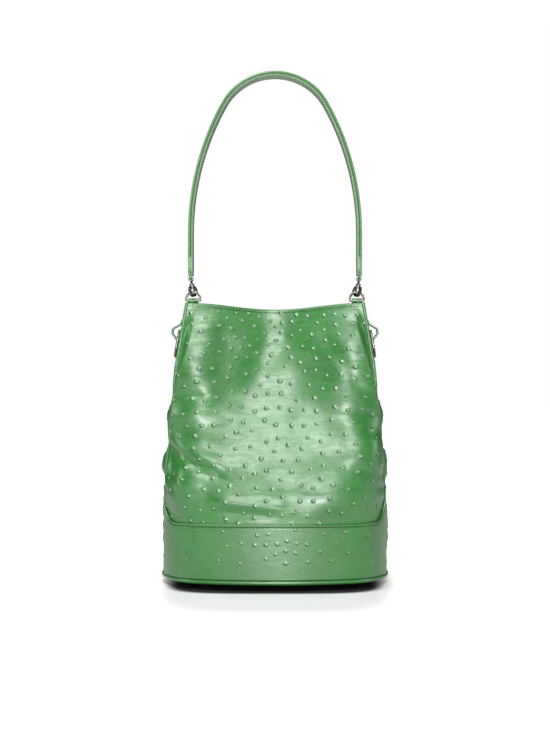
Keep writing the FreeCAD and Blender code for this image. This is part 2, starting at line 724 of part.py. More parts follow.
def make_hook(name, sign):
    """The snap hook: a collar on the swivel post over a bow that one side leaves to the gate."""
    body = new_body(name)
    bow = new_sketch(body, "YZ_Plane")
    outer, inner = "Sizes.bow_half + Sizes.bow_wire", "Sizes.bow_half"
    floor = "-(Sizes.bow_drop + Sizes.bow_wire)"
    shoulder = "-(Sizes.bow_top - Sizes.bow_wire / 2)"
    soft = "Sizes.bow_wire"
    outline(
        bow,
        [
            (f"-({outer})", floor, f"{outer} - Sizes.stub"),
            (f"{outer}", floor, f"{outer} - Sizes.stub"),
            (f"{outer}", shoulder, soft),
            (f"-({outer})", shoulder, soft),
        ],
    )
    pad(body, bow, "Sizes.hook_thick")
    bottom, top = "-Sizes.bow_drop", "-Sizes.bow_top"
    hole = new_sketch(body, "YZ_Plane")
    outline(
        hole,
        [
            (f"-{inner}", bottom, f"{inner} - Sizes.stub"),
            (inner, bottom, f"{inner} - Sizes.stub"),
            (inner, top, "Sizes.bow_wire / 2"),
            (f"-{inner}", top, "Sizes.bow_wire / 2"),
        ],
    )
    pocket(body, hole, "2 * Sizes.hook_thick")
    ear = "Sizes.gate_width / 2"
    gap = new_sketch(body, "YZ_Plane")
    gap_top = f"-(Sizes.gate_pivot + {ear})"
    gap_floor = "-(Sizes.gate_end + Sizes.gate_gap)"
    beyond = f"{outer} + Sizes.bow_wire"
    near = "Sizes.bow_half / 2"
    outline(gap, [(near, gap_floor, ""), (beyond, gap_floor, ""), (beyond, gap_top, ""), (near, gap_top, "")])
    pocket(body, gap, "2 * Sizes.hook_thick")
    collar = new_sketch(body, "XY_Plane", "-Sizes.bow_top")
    circle(collar, "0", "0", "Sizes.hook_collar")
    pad(body, collar, "Sizes.bow_top - Sizes.collar_top", symmetric=False)
    bore = new_sketch(body, "XY_Plane", "-Sizes.bow_top")
    circle(bore, "0", "0", "Sizes.post_radius + Sizes.running_play")
    pocket(body, bore, "2 * (Sizes.bow_top - Sizes.collar_top + Sizes.hair)")
    pivot = new_sketch(body, "YZ_Plane")
    ear_x = "Sizes.bow_half + Sizes.bow_wire / 2"
    circle(pivot, ear_x, "-Sizes.gate_pivot", "Sizes.gate_pin + Sizes.running_play")
    pocket(body, pivot, "2 * Sizes.hook_thick")
    body.Placement = group_placement(sign, turn=True)


def make_gate(name, sign):
    """The gate: a channel that straddles the hook's ear and turns on a pin."""
    body = new_body(name)
    middle, pivot = "Sizes.bow_half + Sizes.bow_wire / 2", "-Sizes.gate_pivot"
    half = "Sizes.gate_width / 2"
    shape = new_sketch(body, "YZ_Plane")
    top = f"{pivot} + {half}"
    outline(
        shape,
        [
            (f"{middle} - {half}", "-Sizes.gate_end", "Sizes.gate_corner"),
            (f"{middle} + {half}", "-Sizes.gate_end", "Sizes.gate_corner"),
            (f"{middle} + {half}", top, f"{half} - Sizes.stub"),
            (f"{middle} - {half}", top, f"{half} - Sizes.stub"),
        ],
    )
    pad(body, shape, "Sizes.gate_thick")
    slot = new_sketch(body, "YZ_Plane")
    deep = f"{pivot} - Sizes.gate_slot_floor - Sizes.gate_gap"
    wide = "2 * Sizes.gate_width"
    corners = [(f"{middle} - {wide}", deep), (f"{middle} + {wide}", deep)]
    corners += [(f"{middle} + {wide}", f"{pivot} + {wide}"), (f"{middle} - {wide}", f"{pivot} + {wide}")]
    outline(slot, [(x, y, "") for x, y in corners])
    pocket(body, slot, "Sizes.gate_slot")
    bore = new_sketch(body, "YZ_Plane")
    circle(bore, middle, pivot, "Sizes.gate_pin + Sizes.running_play")
    pocket(body, bore, "2 * Sizes.gate_thick")
    body.Placement = group_placement(sign, turn=True)


def make_gate_pin(name, sign):
    """The pin through the hook's ear and the gate's two cheeks."""
    body = new_body(name)
    sketch = new_sketch(body, "YZ_Plane")
    circle(sketch, "Sizes.bow_half + Sizes.bow_wire / 2", "-Sizes.gate_pivot", "Sizes.gate_pin")
    pad(body, sketch, "Sizes.gate_thick")
    body.Placement = group_placement(sign, turn=True)


# ---------------------------------------------------------------- rings and tabs


def make_ring(name, prefix, placement):
    """A D-ring bent from round wire: its bar runs along X through the origin, its bow rises."""
    body = new_body(name)
    half, corner, side = (f"Sizes.{prefix}_{part}" for part in ("half", "corner", "side"))
    top = f"{corner} + {side} + {half}"
    bow = f"{half} - Sizes.stub / 2"
    spine = new_sketch(body, "XZ_Plane")
    outline(spine, [(f"-{half}", "0", corner), (half, "0", corner), (half, top, bow), (f"-{half}", top, bow)])
    section = new_sketch(body, "YZ_Plane")
    circle(section, "0", "0", f"Sizes.{prefix}_wire")
    pipe(body, spine, section)
    body.Placement = placement


def make_rim_tab(name, sign):
    """The chape on the gusset's facing: a tail up the wall and a loop round the rim ring's bar."""
    body = new_body(name)
    rim, depth = size("rim_height"), size("rim_tab_depth")
    skin = LEATHER + size("lining_gap") + size("facing") + GAP + size("hair")
    top_x = wall_point("right", 0, rim, skin).x
    low_x = wall_point("right", 0, rim - depth, skin).x
    thick = size("rim_tab_tail")
    top = rim + size("rim_ring_rise") - size("rim_ring_wire") - size("rim_tab_leather") / 2
    tail = new_sketch(body, "XZ_Plane")
    corners = [(top_x, top), (top_x - thick, top), (low_x - thick, rim - depth), (low_x, rim - depth)]
    points = [V(sign * x, z, 0) for x, z in corners]
    for first, last in zip(points, points[1:] + points[:1]):
        tail.addGeometry(Part.LineSegment(first, last))
    pad(body, tail, "Sizes.rim_tab_width")
    bar = "Sizes.rim_height + Sizes.rim_ring_rise"
    hole = "Sizes.rim_ring_wire + Sizes.running_play"
    place = f"{sign} * (Sizes.rim_width / 2 - Sizes.rim_ring_in)"
    loop = new_sketch(body, "YZ_Plane", place)
    circle(loop, "0", bar, f"{hole} + Sizes.rim_tab_leather")
    pad(body, loop, "Sizes.rim_tab_loop")
    bore = new_sketch(body, "YZ_Plane", place)
    circle(bore, "0", bar, hole)
    pocket(body, bore, "3 * Sizes.rim_tab_loop")


def side_placement(sign):
    """The frame of a side tab: out of the gusset along X, up its slope along Z."""
    reach, z = size("side_tab_foot"), RIM - size("side_tab_drop")
    low, high = (outer_xy("right", 0, z + step)[0] for step in (-reach, reach))
    slope = math.degrees(math.atan2(low - high, 2 * reach))
    here = V(sign * (low + high) / 2, 0, z)
    around = FreeCAD.Rotation(V(0, 0, 1), 0 if sign > 0 else 180)
    return FreeCAD.Placement(here, around.multiply(FreeCAD.Rotation(V(0, 1, 0), -slope)))


def make_side_tab(name, sign):
    """The chape on the gusset's outside: a strip sewn down at both ends that bulges over the ring."""
    body = new_body(name)
    near, thick, reach = "(Sizes.layer_gap + Sizes.hair)", "Sizes.side_tab_leather", "Sizes.side_tab_reach"
    foot, bend, step = "Sizes.side_tab_foot", "Sizes.side_tab_bend", "Sizes.side_tab_step"
    crease, outer, inner = (f"Sizes.side_tab_{bend_name}" for bend_name in ("crease", "round", "inside"))
    face = f"{near} + {thick}"
    sketch = new_sketch(body, "XZ_Plane")
    outline(
        sketch,
        [
            (near, f"-{foot}", ""),
            (face, f"-{foot}", ""),
            (face, f"-{bend}", crease),
            (reach, "-Sizes.side_tab_low", outer),
            (reach, "Sizes.side_tab_high", outer),
            (face, bend, outer),
            (face, foot, ""),
            (near, foot, ""),
            (near, f"{bend} - {step}", inner),
            (f"{reach} - {thick}", f"Sizes.side_tab_high - {step}", inner),
            (f"{reach} - {thick}", f"{step} - Sizes.side_tab_low", inner),
            (near, f"Sizes.side_tab_spread - {bend}", crease),
        ],
    )
    pad(body, sketch, "Sizes.side_tab_width")
    body.Placement = side_placement(sign)


def ring_placements(sign):
    """Rim ring upright over its tab; side ring hanging down the gusset from its own."""
    bar = V(sign * (RIM_X - size("rim_ring_in")), 0, size("rim_height") + size("rim_ring_rise"))
    rim = FreeCAD.Placement(bar, FreeCAD.Rotation())
    off = size("side_ring_wire") + GAP + size("hair")
    hang = FreeCAD.Rotation(V(0, 0, 1), 90).multiply(FreeCAD.Rotation(V(1, 0, 0), 180))
    side = side_placement(sign).multiply(FreeCAD.Placement(V(off, 0, size("side_ring_up")), hang))
    return rim, side


# ---------------------------------------------------------------- build, test and write

make_walls()
make_seam_pipings()
make_base()
make_snap()
make_strap()
for word, direction in (("left", -1), ("right", 1)):
    make_strap_end(f"{word}_strap_end", direction)
    make_eye(f"{word}_swivel_eye", direction)
    make_hook(f"{word}_hook", direction)
    make_gate(f"{word}_gate", direction)
    make_gate_pin(f"{word}_gate_pin", direction)
    make_rim_tab(f"{word}_rim_tab", direction)
    make_side_tab(f"{word}_side_tab", direction)
    rim_place, side_place = ring_placements(direction)
    make_ring(f"{word}_rim_ring", "rim_ring", rim_place)
    make_ring(f"{word}_side_ring", "side_ring", side_place)

doc.recompute()
for item in doc.Objects:
    if "Invalid" in item.State or "Error" in item.State:
        raise RuntimeError(f"{item.Label} failed: {item.State}")
for node in NODES:
    if node.Shape.isNull() or not node.Shape.isValid() or node.Shape.Volume <= 0:
        raise RuntimeError(f"{node.Label} has no valid solid")

os.makedirs(OUT, exist_ok=True)
for node in NODES:
    node.Shape.exportStep(os.path.join(OUT, f"{node.Label}.step"))
print(f"{len(NODES)} nodes")
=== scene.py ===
"""Looks of a bucket bag in green leather embossed with ostrich quills.

The pieces follow the order in which the bag is put together. Lengths are worked out in millimetres and
become metres when a mesh is made. +X is the bag's width, -Y its front, +Z up.
"""
import math

import bmesh
import bpy
import numpy as np
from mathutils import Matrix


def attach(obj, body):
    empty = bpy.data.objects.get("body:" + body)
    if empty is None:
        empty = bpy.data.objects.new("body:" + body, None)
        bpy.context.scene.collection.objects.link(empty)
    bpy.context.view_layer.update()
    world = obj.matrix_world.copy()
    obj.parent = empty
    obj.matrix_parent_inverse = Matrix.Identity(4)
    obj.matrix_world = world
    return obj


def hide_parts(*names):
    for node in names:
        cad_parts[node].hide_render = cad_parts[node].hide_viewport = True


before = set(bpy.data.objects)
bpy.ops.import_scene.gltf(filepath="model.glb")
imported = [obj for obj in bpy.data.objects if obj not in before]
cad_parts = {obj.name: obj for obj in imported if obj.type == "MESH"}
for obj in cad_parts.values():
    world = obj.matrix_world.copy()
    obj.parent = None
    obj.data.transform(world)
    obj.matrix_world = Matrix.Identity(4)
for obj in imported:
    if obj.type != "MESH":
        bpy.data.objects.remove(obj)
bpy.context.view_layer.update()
scene = bpy.context.scene


# --------------------
# Studio: a white sweep under five soft boxes. The bag is seen square on, from the height of its upper
# body. The floor shines white by itself away from the bag and keeps its shadow near it. Under the bag,
# a near black shadow is painted into the floor's colour.

camera = bpy.data.objects.new("camera", bpy.data.cameras.new("camera"))
scene.collection.objects.link(camera)
scene.camera = camera
camera.location = (0, -1.44, 0.214)
camera.rotation_euler = (math.radians(90), 0, 0)
camera.data.sensor_fit = "HORIZONTAL"
camera.data.sensor_width = 36
camera.data.lens = 94.25
scene.view_settings.view_transform = "Standard"


def soft_box(name, place, target, width, height, watts):
    """An area lamp of width by height metres at place, its face turned to target."""
    lamp = bpy.data.objects.new(name, bpy.data.lights.new(name, "AREA"))
    scene.collection.objects.link(lamp)
    lamp.data.shape = "RECTANGLE"
    lamp.data.size, lamp.data.size_y = width, height
    lamp.data.energy = watts
    lamp.location = place
    towards = np.subtract(target, place)
    level = math.hypot(towards[0], towards[1])
    lamp.rotation_euler = (math.atan2(level, -towards[2]), 0, math.atan2(-towards[0], towards[1]))


soft_box("key_box", (0.04, -1.3, 1.2), (0, 0, 0.14), 0.5, 0.74, 13.6)
soft_box("top_box", (-0.35, -0.3, 1.5), (0, 0, 0.2), 0.6, 0.6, 8)
soft_box("front_box", (0.02, -1.8, 0.22), (0, 0, 0.06), 0.4, 0.4, 14)
soft_box("left_box", (-1.5, -0.3, 0.6), (0, 0, 0.16), 0.4, 0.7, 4)
soft_box("right_box", (1.5, -0.2, 0.6), (0, 0, 0.16), 0.4, 0.7, 3)


class Socket:
    """A node's output that takes part in maths: every operator adds one Math node."""

    def __init__(self, finish, socket):
        self.finish = finish
        self.socket = socket

    def maths(self, operation, *others):
        inputs = dict(enumerate([self, *others]))
        return self.finish.node("ShaderNodeMath", {"operation": operation}, inputs)

    def __add__(self, other):
        return self.maths("ADD", other)

    def __sub__(self, other):
        return self.maths("SUBTRACT", other)

    def __mul__(self, other):
        return self.maths("MULTIPLY", other)

    def __truediv__(self, other):
        return self.maths("DIVIDE", other)

    def __pow__(self, other):
        return self.maths("POWER", other)

    def __rsub__(self, other):
        return self.finish.node("ShaderNodeMath", {"operation": "SUBTRACT"}, {0: other, 1: self})

    __radd__ = __add__
    __rmul__ = __mul__

    def between(self, low, high):
        """0 at low, 1 at high, smooth in between."""
        settings = {"interpolation_type": "SMOOTHSTEP"}
        inputs = {"Value": self, "From Min": low, "From Max": high}
        return self.finish.node("ShaderNodeMapRange", settings, inputs)


class Finish:
    """A material and its nodes."""

    def __init__(self, name):
        self.material = bpy.data.materials.new(name)
        self.material.use_nodes = True
        self.tree = self.material.node_tree
        self.tree.nodes.clear()

    def node(self, kind, settings=None, inputs=None, out=0):
        """Adds a node: its settings first, then the values or links of its sockets."""
        node = self.tree.nodes.new(kind)
        for key, value in (settings or {}).items():
            setattr(node, key, value)
        for key, value in (inputs or {}).items():
            if isinstance(value, Socket):
                self.tree.links.new(value.socket, node.inputs[key])
            else:
                node.inputs[key].default_value = value
        return Socket(self, node.outputs[out]) if node.outputs else node

    def mixed(self, share, first, second):
        """Colour that goes from first to second as share goes from 0 to 1."""
        return self.node("ShaderNodeMix", {"data_type": "RGBA"}, {0: share, 6: first, 7: second}, out=2)

    def noise(self, place, scale, detail=3.0, roughness=0.5, distortion=0.0):
        """Noise with features 1 / scale metres across."""
        inputs = {"Vector": place, "Scale": scale, "Detail": detail, "Roughness": roughness}
        return self.node("ShaderNodeTexNoise", {}, {**inputs, "Distortion": distortion}, out="Fac")

    def attribute(self, name):
        """A number that the mesh carries at each of its points."""
        return self.node("ShaderNodeAttribute", {"attribute_name": name}, out="Fac")

    def shine(self, shader):
        """Makes shader the material's surface."""
        self.node("ShaderNodeOutputMaterial", {}, {"Surface": shader})
        return self.material


def colour(red, green, blue):
    """A colour from its 0 to 255 values, made linear."""
    return tuple(((v / 255 + 0.055) / 1.055) ** 2.4 for v in (red, green, blue)) + (1.0,)


WHITE = (1.0, 1.0, 1.0, 1.0)
ROOM_FILL, ROOM_MIRRORED = 0.26, 0.07
world = bpy.data.worlds.new("white_room")
scene.world = world
world.use_nodes = True
room = world.node_tree
room.nodes.clear()
room_paths = room.nodes.new("ShaderNodeLightPath")
background = room.nodes.new("ShaderNodeBackground")
background.inputs["Color"].default_value = WHITE
room.links.new(background.outputs[0], room.nodes.new("ShaderNodeOutputWorld").inputs["Surface"])
level = None
for kind_of_ray, strength in (
    ("Is Glossy Ray", ROOM_MIRRORED - ROOM_FILL),
    ("Is Transmission Ray", 1 - ROOM_FILL),
    ("Is Camera Ray", 1 - ROOM_FILL),
):
    added = room.nodes.new("ShaderNodeMath")
    added.operation = "MULTIPLY_ADD"
    room.links.new(room_paths.outputs[kind_of_ray], added.inputs[0])
    added.inputs[1].default_value = strength
    added.inputs[2].default_value = ROOM_FILL
    if level is not None:
        room.links.new(level, added.inputs[2])
    level = added.outputs[0]
room.links.new(level, background.inputs["Strength"])

FLOOR_HALF = 6.0
floor_mesh = bpy.data.meshes.new("floor")
floor_corners = [(x * FLOOR_HALF, y * FLOOR_HALF, 0) for x, y in ((-1, -1), (1, -1), (1, 1), (-1, 1))]
floor_mesh.from_pydata(floor_corners, [], [(0, 1, 2, 3)])
floor = bpy.data.objects.new("floor", floor_mesh)
scene.collection.objects.link(floor)
sweep = Finish("white_sweep")
spot_x = sweep.node("ShaderNodeSeparateXYZ", {}, {"Vector": sweep.node("ShaderNodeTexCoord", out="Object")})
spot_y = Socket(sweep, spot_x.socket.node.outputs[1])


def past_oval(half_x, half_y):
    """Under 1 inside a rounded rectangle round the bag's foot and above it outside: the sum of the
    fourth powers of x / half_x and y / half_y."""
    return (spot_x / half_x).maths("ABSOLUTE") ** 4 + (spot_y / half_y).maths("ABSOLUTE") ** 4


MIRRORED_GLOW = 0.08
# Matt colours of the floor: near black as a painted shadow under the bag, plain light grey elsewhere.
PAINTED_SHADOW_UNDER_BAG, OPEN_FLOOR = (0.04, 0.04, 0.04, 1.0), (0.8, 0.8, 0.8, 1.0)
mirrored = sweep.node("ShaderNodeLightPath", out="Is Glossy Ray")
seen = sweep.node("ShaderNodeLightPath", out="Is Camera Ray").maths("MAXIMUM", mirrored * MIRRORED_GLOW)
glow = seen * past_oval(0.113, 0.2).between(0.45, 1.9)
# Painted shadow: inside the oval round the bag's foot, the matt colour goes to near black.
matt_tone_with_painted_shadow = sweep.mixed(past_oval(0.103, 0.084).between(0.8, 1.3), PAINTED_SHADOW_UNDER_BAG, OPEN_FLOOR)
matt = sweep.node("ShaderNodeBsdfDiffuse", {}, {"Color": matt_tone_with_painted_shadow})
lit = sweep.node("ShaderNodeEmission", {}, {"Color": WHITE, "Strength": glow})
floor_mesh.materials.append(sweep.shine(sweep.node("ShaderNodeAddShader", {}, {0: matt, 1: lit})))


# --------------------
# Front and back panels: 2 mm hide pressed with ostrich quills, cut to hang from the rim to behind the
# band. The walls rise from an oval base and draw in to a mouth that is pinched shut at its middle.

BASE_X, BASE_Y = 111.5, 75.0
CORNER, CORNER_X, CORNER_Y = 45.0, 59.0, 22.0
RIM_X, RIM_Y, RIM_HEIGHT, RIM_DIP = 87.0, 28.0, 276.5, 6.0
MOUTH_HALF, PINCH_REACH, GUSSET_BULGE, GUSSET_HALF = 9.0, 0.6, 1.3, 23.0
UPRIGHT, TAPER, LEAN_START = 72.0, 1.8, 0.1
LEATHER, PANEL_LAP = 2.0, 12.0
SEAM_WELT, SEAM_WELT_OUT = 1.7, 0.9
SEAM_ROOM = 0.9 * SEAM_WELT
WIDE_COLUMNS, PANEL_ROWS = 311, 276


def touching_radius(along, across):
    """Radius of the arc that runs into both corner arcs of one side of the oval."""
    return (along**2 + across**2 - CORNER**2) / (2 * (across - CORNER))


FRONT_RADIUS = touching_radius(CORNER_X, BASE_Y - CORNER_Y)
SIDE_RADIUS = touching_radius(CORNER_Y, BASE_X - CORNER_X)
FRONT_ANGLE = math.atan2(CORNER_X, FRONT_RADIUS - BASE_Y + CORNER_Y)
SIDE_ANGLE = math.atan2(CORNER_Y, SIDE_RADIUS - BASE_X + CORNER_X)
SEAM_ANGLE = math.asin(GUSSET_HALF / SIDE_RADIUS)
FRONT_RUN = FRONT_RADIUS * FRONT_ANGLE
CORNER_RUN = CORNER * (math.pi / 2 - FRONT_ANGLE - SIDE_ANGLE)
BASE_RUN = FRONT_RUN + CORNER_RUN + SIDE_RADIUS * (SIDE_ANGLE - SEAM_ANGLE)


def base_oval(share):
    """Plan of the front wall at the base: a wide arc, a corner arc and part of a side arc, walked by
    length from the middle, share -1 to 1 from the left seam to the right seam."""
    run = np.abs(share) * BASE_RUN
    wide = run / FRONT_RADIUS
    turn = FRONT_ANGLE + (run - FRONT_RUN) / CORNER
    side = SIDE_ANGLE - (run - FRONT_RUN - CORNER_RUN) / SIDE_RADIUS
    parts = [run < FRONT_RUN, run < FRONT_RUN + CORNER_RUN]
    x = np.select(
        parts,
        [FRONT_RADIUS * np.sin(wide), CORNER_X + CORNER * np.sin(turn)],
        BASE_X - SIDE_RADIUS * (1 - np.cos(side)),
    )
    y = np.select(
        parts,
        [FRONT_RADIUS * (1 - np.cos(wide)) - BASE_Y, -CORNER_Y - CORNER * np.cos(turn)],
        -SIDE_RADIUS * np.sin(side),
    )
    return np.copysign(x, share), y


def rim_line(side, share):
    """Height of the rim: level over the gussets, sinking by a squared cosine at the front and back."""
    dip = RIM_DIP * np.cos(np.pi / 2 * share) ** 2
    return RIM_HEIGHT - (dip if side in ("front", "back") else 0 * share)


def seam_sway(height):
    """How far the seams buckle inwards across the bag: three soft dents below the side rings."""
    dents = ((186, 7, 1.0), (139, 6, 1.5), (112, 9, -0.7), (214, 12, -0.6))
    return sum(deep * np.exp(-(((height - middle) / tall) ** 2)) for middle, tall, deep in dents)


def wall_plan(side, share, height):
    """Plan of a wall's outer face: the base outline moves to the rim's outline, by a power of the
    height across the bag and by a line with a soft start from front to back. The rim's outline is
    pinched at its middle: half the mouth's gap there, widening as 1 - exp(-(share / reach) squared)."""
    rise = np.clip((height - UPRIGHT) / (rim_line(side, share) - UPRIGHT), 0, 1)
    if side in ("front", "back"):
        base_x, base_y = base_oval(share)
        rim_x = share * RIM_X
        rim_y = -MOUTH_HALF - (RIM_Y - MOUTH_HALF) * (1 - np.exp(-((share / PINCH_REACH) ** 2)))
    else:
        base_x = BASE_X - SIDE_RADIUS * (1 - np.cos(SEAM_ANGLE * share))
        base_y = SIDE_RADIUS * np.sin(SEAM_ANGLE * share)
        rim_x = RIM_X + GUSSET_BULGE * (1 - share**2)
        rim_y = RIM_Y * share
    sway = seam_sway(height) * (np.sign(share) * share**6 if side in ("front", "back") else 1)
    x = base_x + (rim_x - base_x) * rise**TAPER - sway
    lean = (np.hypot(rise, LEAN_START) - LEAN_START) / (math.hypot(1, LEAN_START) - LEAN_START)
    y = base_y + (rim_y - base_y) * lean
    return (-x if side == "left" else x), (-y if side == "back" else y)


def wall_inward(side, share, height):
    """Level direction into the bag, square to the wall's plan at that height."""
    step = 0.001
    x0, y0 = wall_plan(side, np.maximum(share - step, -1), height)
    x1, y1 = wall_plan(side, np.minimum(share + step, 1), height)
    along = np.hypot(x1 - x0, y1 - y0)
    turned = -1 if side in ("back", "left") else 1
    return -(y1 - y0) / along * turned, (x1 - x0) / along * turned


def seam_share(side, height, room):
    """Share at which a wall stops, room millimetres short of the line of the seam."""
    step = 0.02
    ones = np.ones_like(height)
    x0, y0 = wall_plan(side, ones * (1 - step), height)
    x1, y1 = wall_plan(side, ones, height)
    return 1 - room * step / np.hypot(x1 - x0, y1 - y0)


def ridge(along, height, start, end, width, rise, sharpness=2.0):
    """A fold from start to end: rise times exp(-|distance / width| ** sharpness), fading to nothing
    over the last quarter at both ends. A negative rise makes a valley."""
    run = np.subtract(end, start)
    length = math.hypot(*run)
    ahead = ((along - start[0]) * run[0] + (height - start[1]) * run[1]) / length
    off = ((along - start[0]) * -run[1] + (height - start[1]) * run[0]) / length
    past = np.maximum(np.abs(ahead / length - 0.5) - 0.25, 0) / 0.25
    return rise * np.exp(-np.abs(off / width) ** sharpness) * np.exp(-2.5 * past**2)


def swell(along, height, middle, radius, rise):
    """A round bulge: rise times exp(-(distance / radius) squared)."""
    far = ((along - middle[0]) / radius[0]) ** 2 + ((height - middle[1]) / radius[1]) ** 2
    return rise * np.exp(-far)


def ripple(along, height, length, rise, seed):
    """Uneven hide: a sum of sixteen plane waves of about this length, in seeded directions."""
    dice = np.random.default_rng(seed)
    total = np.zeros_like(along)
    for _ in range(16):
        turn, start = dice.uniform(0, 2 * np.pi, 2)
        wave = 2 * np.pi / (length * dice.uniform(0.7, 1.6))
        total += np.sin(wave * (along * np.cos(turn) + height * np.sin(turn)) + start)
    return rise * total / 4


FRONT_RIDGES = (
    ((44, 254), (90, 178), 6, -1.0), ((2, 268), (0, 226), 7, 1.0), ((-98, 232), (-40, 250), 9, -2.2),
    ((-118, 184), (-62, 187), 4, -2.4, 1.5), ((-124, 142), (-44, 105), 4.5, -3.6, 1.4),
    ((-110, 146), (-46, 116), 8, 2.6), ((-116, 138), (-96, 88), 6, -2.6, 1.6),
    ((-66, 86), (14, 80), 5, 1.9, 1.8), ((-80, 76), (10, 70), 5, -1.6), ((112, 160), (112, 92), 9, -2.8),
)
FRONT_SWELLS = (
    ((-64, 112), (38, 32), 3.4), ((66, 120), (36, 36), 3.4), ((-112, 216), (62, 76), 8.0),
    ((112, 230), (60, 84), 12.0), ((-98, 238), (26, 40), 3.5), ((84, 206), (28, 38), 3.6),
    ((-92, 190), (42, 30), 4.0), ((100, 122), (28, 32), 5.0), ((-104, 96), (26, 22), 4.5),
    ((70, 86), (26, 14), 2.2), ((-80, 208), (26, 13), 3.0), ((-86, 168), (24, 13), 3.0),
    ((-86, 104), (16, 16), 3.2), ((88, 132), (24, 24), 3.4), ((52, 92), (26, 14), 1.6),
)
BACK_RIDGES = (
    ((0, 268), (3, 214), 10, 1.6), ((24, 264), (36, 198), 10, -2.2), ((-24, 264), (-38, 190), 10, -2.4),
    ((-44, 232), (-104, 188), 7, -3.0, 1.6), ((118, 170), (58, 160), 5, -2.6, 1.5),
    ((-118, 112), (-40, 92), 6, -2.6, 1.5), ((10, 78), (84, 86), 6, 2.2),
)
BACK_SWELLS = (((82, 196), (26, 16), 2.8), ((-84, 142), (26, 20), 2.8), ((20, 140), (44, 30), 1.6))
GUSSET_RIDGES = (
    ((-30, 190), (22, 182), 7, -2.6, 1.6), ((-24, 170), (30, 160), 8, 2.0),
    ((-30, 144), (26, 134), 6, -3.2, 1.5), ((-28, 122), (30, 116), 9, 2.2),
    ((-20, 96), (30, 104), 7, -2.2, 1.6), ((4, 84), (-4, 30), 12, 1.0),
)
FAN_DEEP, FAN_TOP, FAN_TALL, FAN_HALF, FAN_WIDENS = 6.5, 275, 150, 22, 55


def folds(side, along, height):
    """Folds of a wall, as ridges and swells. The front has crumples where the left seam buckles, a long
    fold that rests on the band, and a fan: a groove under the pinched middle of the rim that fades by a
    power of 1.3 and widens down to FAN_TALL below FAN_TOP, a bell curve across."""
    ridges, swells = {"front": (FRONT_RIDGES, FRONT_SWELLS), "back": (BACK_RIDGES, BACK_SWELLS)}.get(
        side, (GUSSET_RIDGES, ())
    )
    total = sum(ridge(along, height, *one) for one in ridges) + sum(swell(along, height, *one) for one in swells)
    if side != "front":
        return total
    opened = np.clip((FAN_TOP - height) / FAN_TALL, 0, 1)
    groove = np.exp(-(((along - 1) / (FAN_HALF + FAN_WIDENS * opened)) ** 2))
    return total - FAN_DEEP * (1 - opened) ** 1.3 * groove


RIPPLE_SEED = {"front": 3, "back": 5, "left": 7, "right": 11}


def smooth(value, low, high):
    """Smooth step from 0 at low to 1 at high."""
    part = np.clip((value - low) / (high - low), 0, 1)
    return part * part * (3 - 2 * part)


def slack(side, along, height, edge):
    """How far a wall stands out from its plain shape: its folds, the hide's unevenness, and level
    crumples that fade away from the seams, held flat where it is sewn to the rim's facing, to the band
    and to the seams, edge millimetres away."""
    free = 1 - smooth(height, RIM_HEIGHT - 42, RIM_HEIGHT - 4)
    free = free * (smooth(height, 58, 80) if side in ("front", "back") else smooth(height, 14, 40))
    free = free * smooth(edge, 1, 9)
    uneven = ripple(along, height, 34, 0.5, RIPPLE_SEED[side])
    crumpled = ripple(along * 0.3, height, 12, 0.52, RIPPLE_SEED[side] + 1) * np.exp(-((edge / 42) ** 2))
    return free * (folds(side, along, height) + uneven + crumpled)


def seam_turn(height):
    """Angle between neighbouring walls at a seam, from nothing at the base to a corner at the rim."""
    front = wall_inward("front", np.ones_like(height), height)
    gusset = wall_inward("right", -np.ones_like(height), height)
    return np.arccos(np.clip(front[0] * gusset[0] + front[1] * gusset[1], -1, 1))


LINING_FOLLOWS = 0.72


def wall_grid(side, low, high, thickness, depth, columns, rows, room, inner_rows=14):
    """A layer of a wall as one profile carried from seam to seam: up its outer face, over a rounded
    edge, down its inner face and round again. low and high are functions of share; depth is how far
    the outer face lies inside the wall's plain shape. An inner layer is mitred at the seams and follows
    only LINING_FOLLOWS of each bulge. Returns a dictionary of whole arrays."""
    share = np.linspace(-1, 1, columns)[None, :]
    half = thickness / 2
    round_over = np.linspace(0, np.pi, 7)[1:-1]
    up = np.linspace(0, 1, rows)
    down = np.linspace(1, 0, inner_rows)
    part = np.concatenate([up, 1 + 0 * round_over, down, 0 * round_over])
    over, across = half * np.sin(round_over), half * np.cos(round_over)
    lift = np.concatenate([half * (1 - 2 * up), over - half, half * (1 - 2 * down), half - over])
    inset = np.concatenate([0 * up, half - across, thickness + 0 * down, half + across])
    part, lift, inset = part[:, None], lift[:, None], inset[:, None]
    height = low(share) + (high(share) - low(share)) * part + lift
    mitred = (depth + thickness) * np.tan(seam_turn(height) / 2) if depth > 0 else 0
    share = share * seam_share(side, height, room + mitred)
    x, y = wall_plan(side, share, height)
    in_x, in_y = wall_inward(side, share, height)
    step = np.hypot(np.diff(x, axis=1), np.diff(y, axis=1))
    along = np.concatenate([np.zeros((len(x), 1)), np.cumsum(step, axis=1)], axis=1)
    along -= along[:, columns // 2][:, None]
    edge = np.minimum(along - along[:, :1], along[:, -1:] - along)
    loose = slack(side, along, height, edge)
    if depth > 0:
        loose = np.minimum(loose, slack(side, along, height, edge + mitred))
        loose = np.minimum(loose, LINING_FOLLOWS * loose)
    into = depth + inset - loose
    return {
        "side": side, "share": share, "along": along, "height": height, "outer_rows": rows,
        "x": x, "y": y, "in_x": in_x, "in_y": in_y, "into": into,
    }


def at_height(height):
    """A lower or upper edge of a wall that stays at one height."""
    return lambda share: height + 0 * share


def wall_points(grid, proud=0):
    """The grid's points in millimetres, its outer face raised by proud."""
    into = grid["into"].copy()
    into[: grid["outer_rows"]] -= proud
    x = grid["x"] + grid["in_x"] * into
    y = grid["y"] + grid["in_y"] * into
    return np.stack([x, y, grid["height"]], axis=-1)


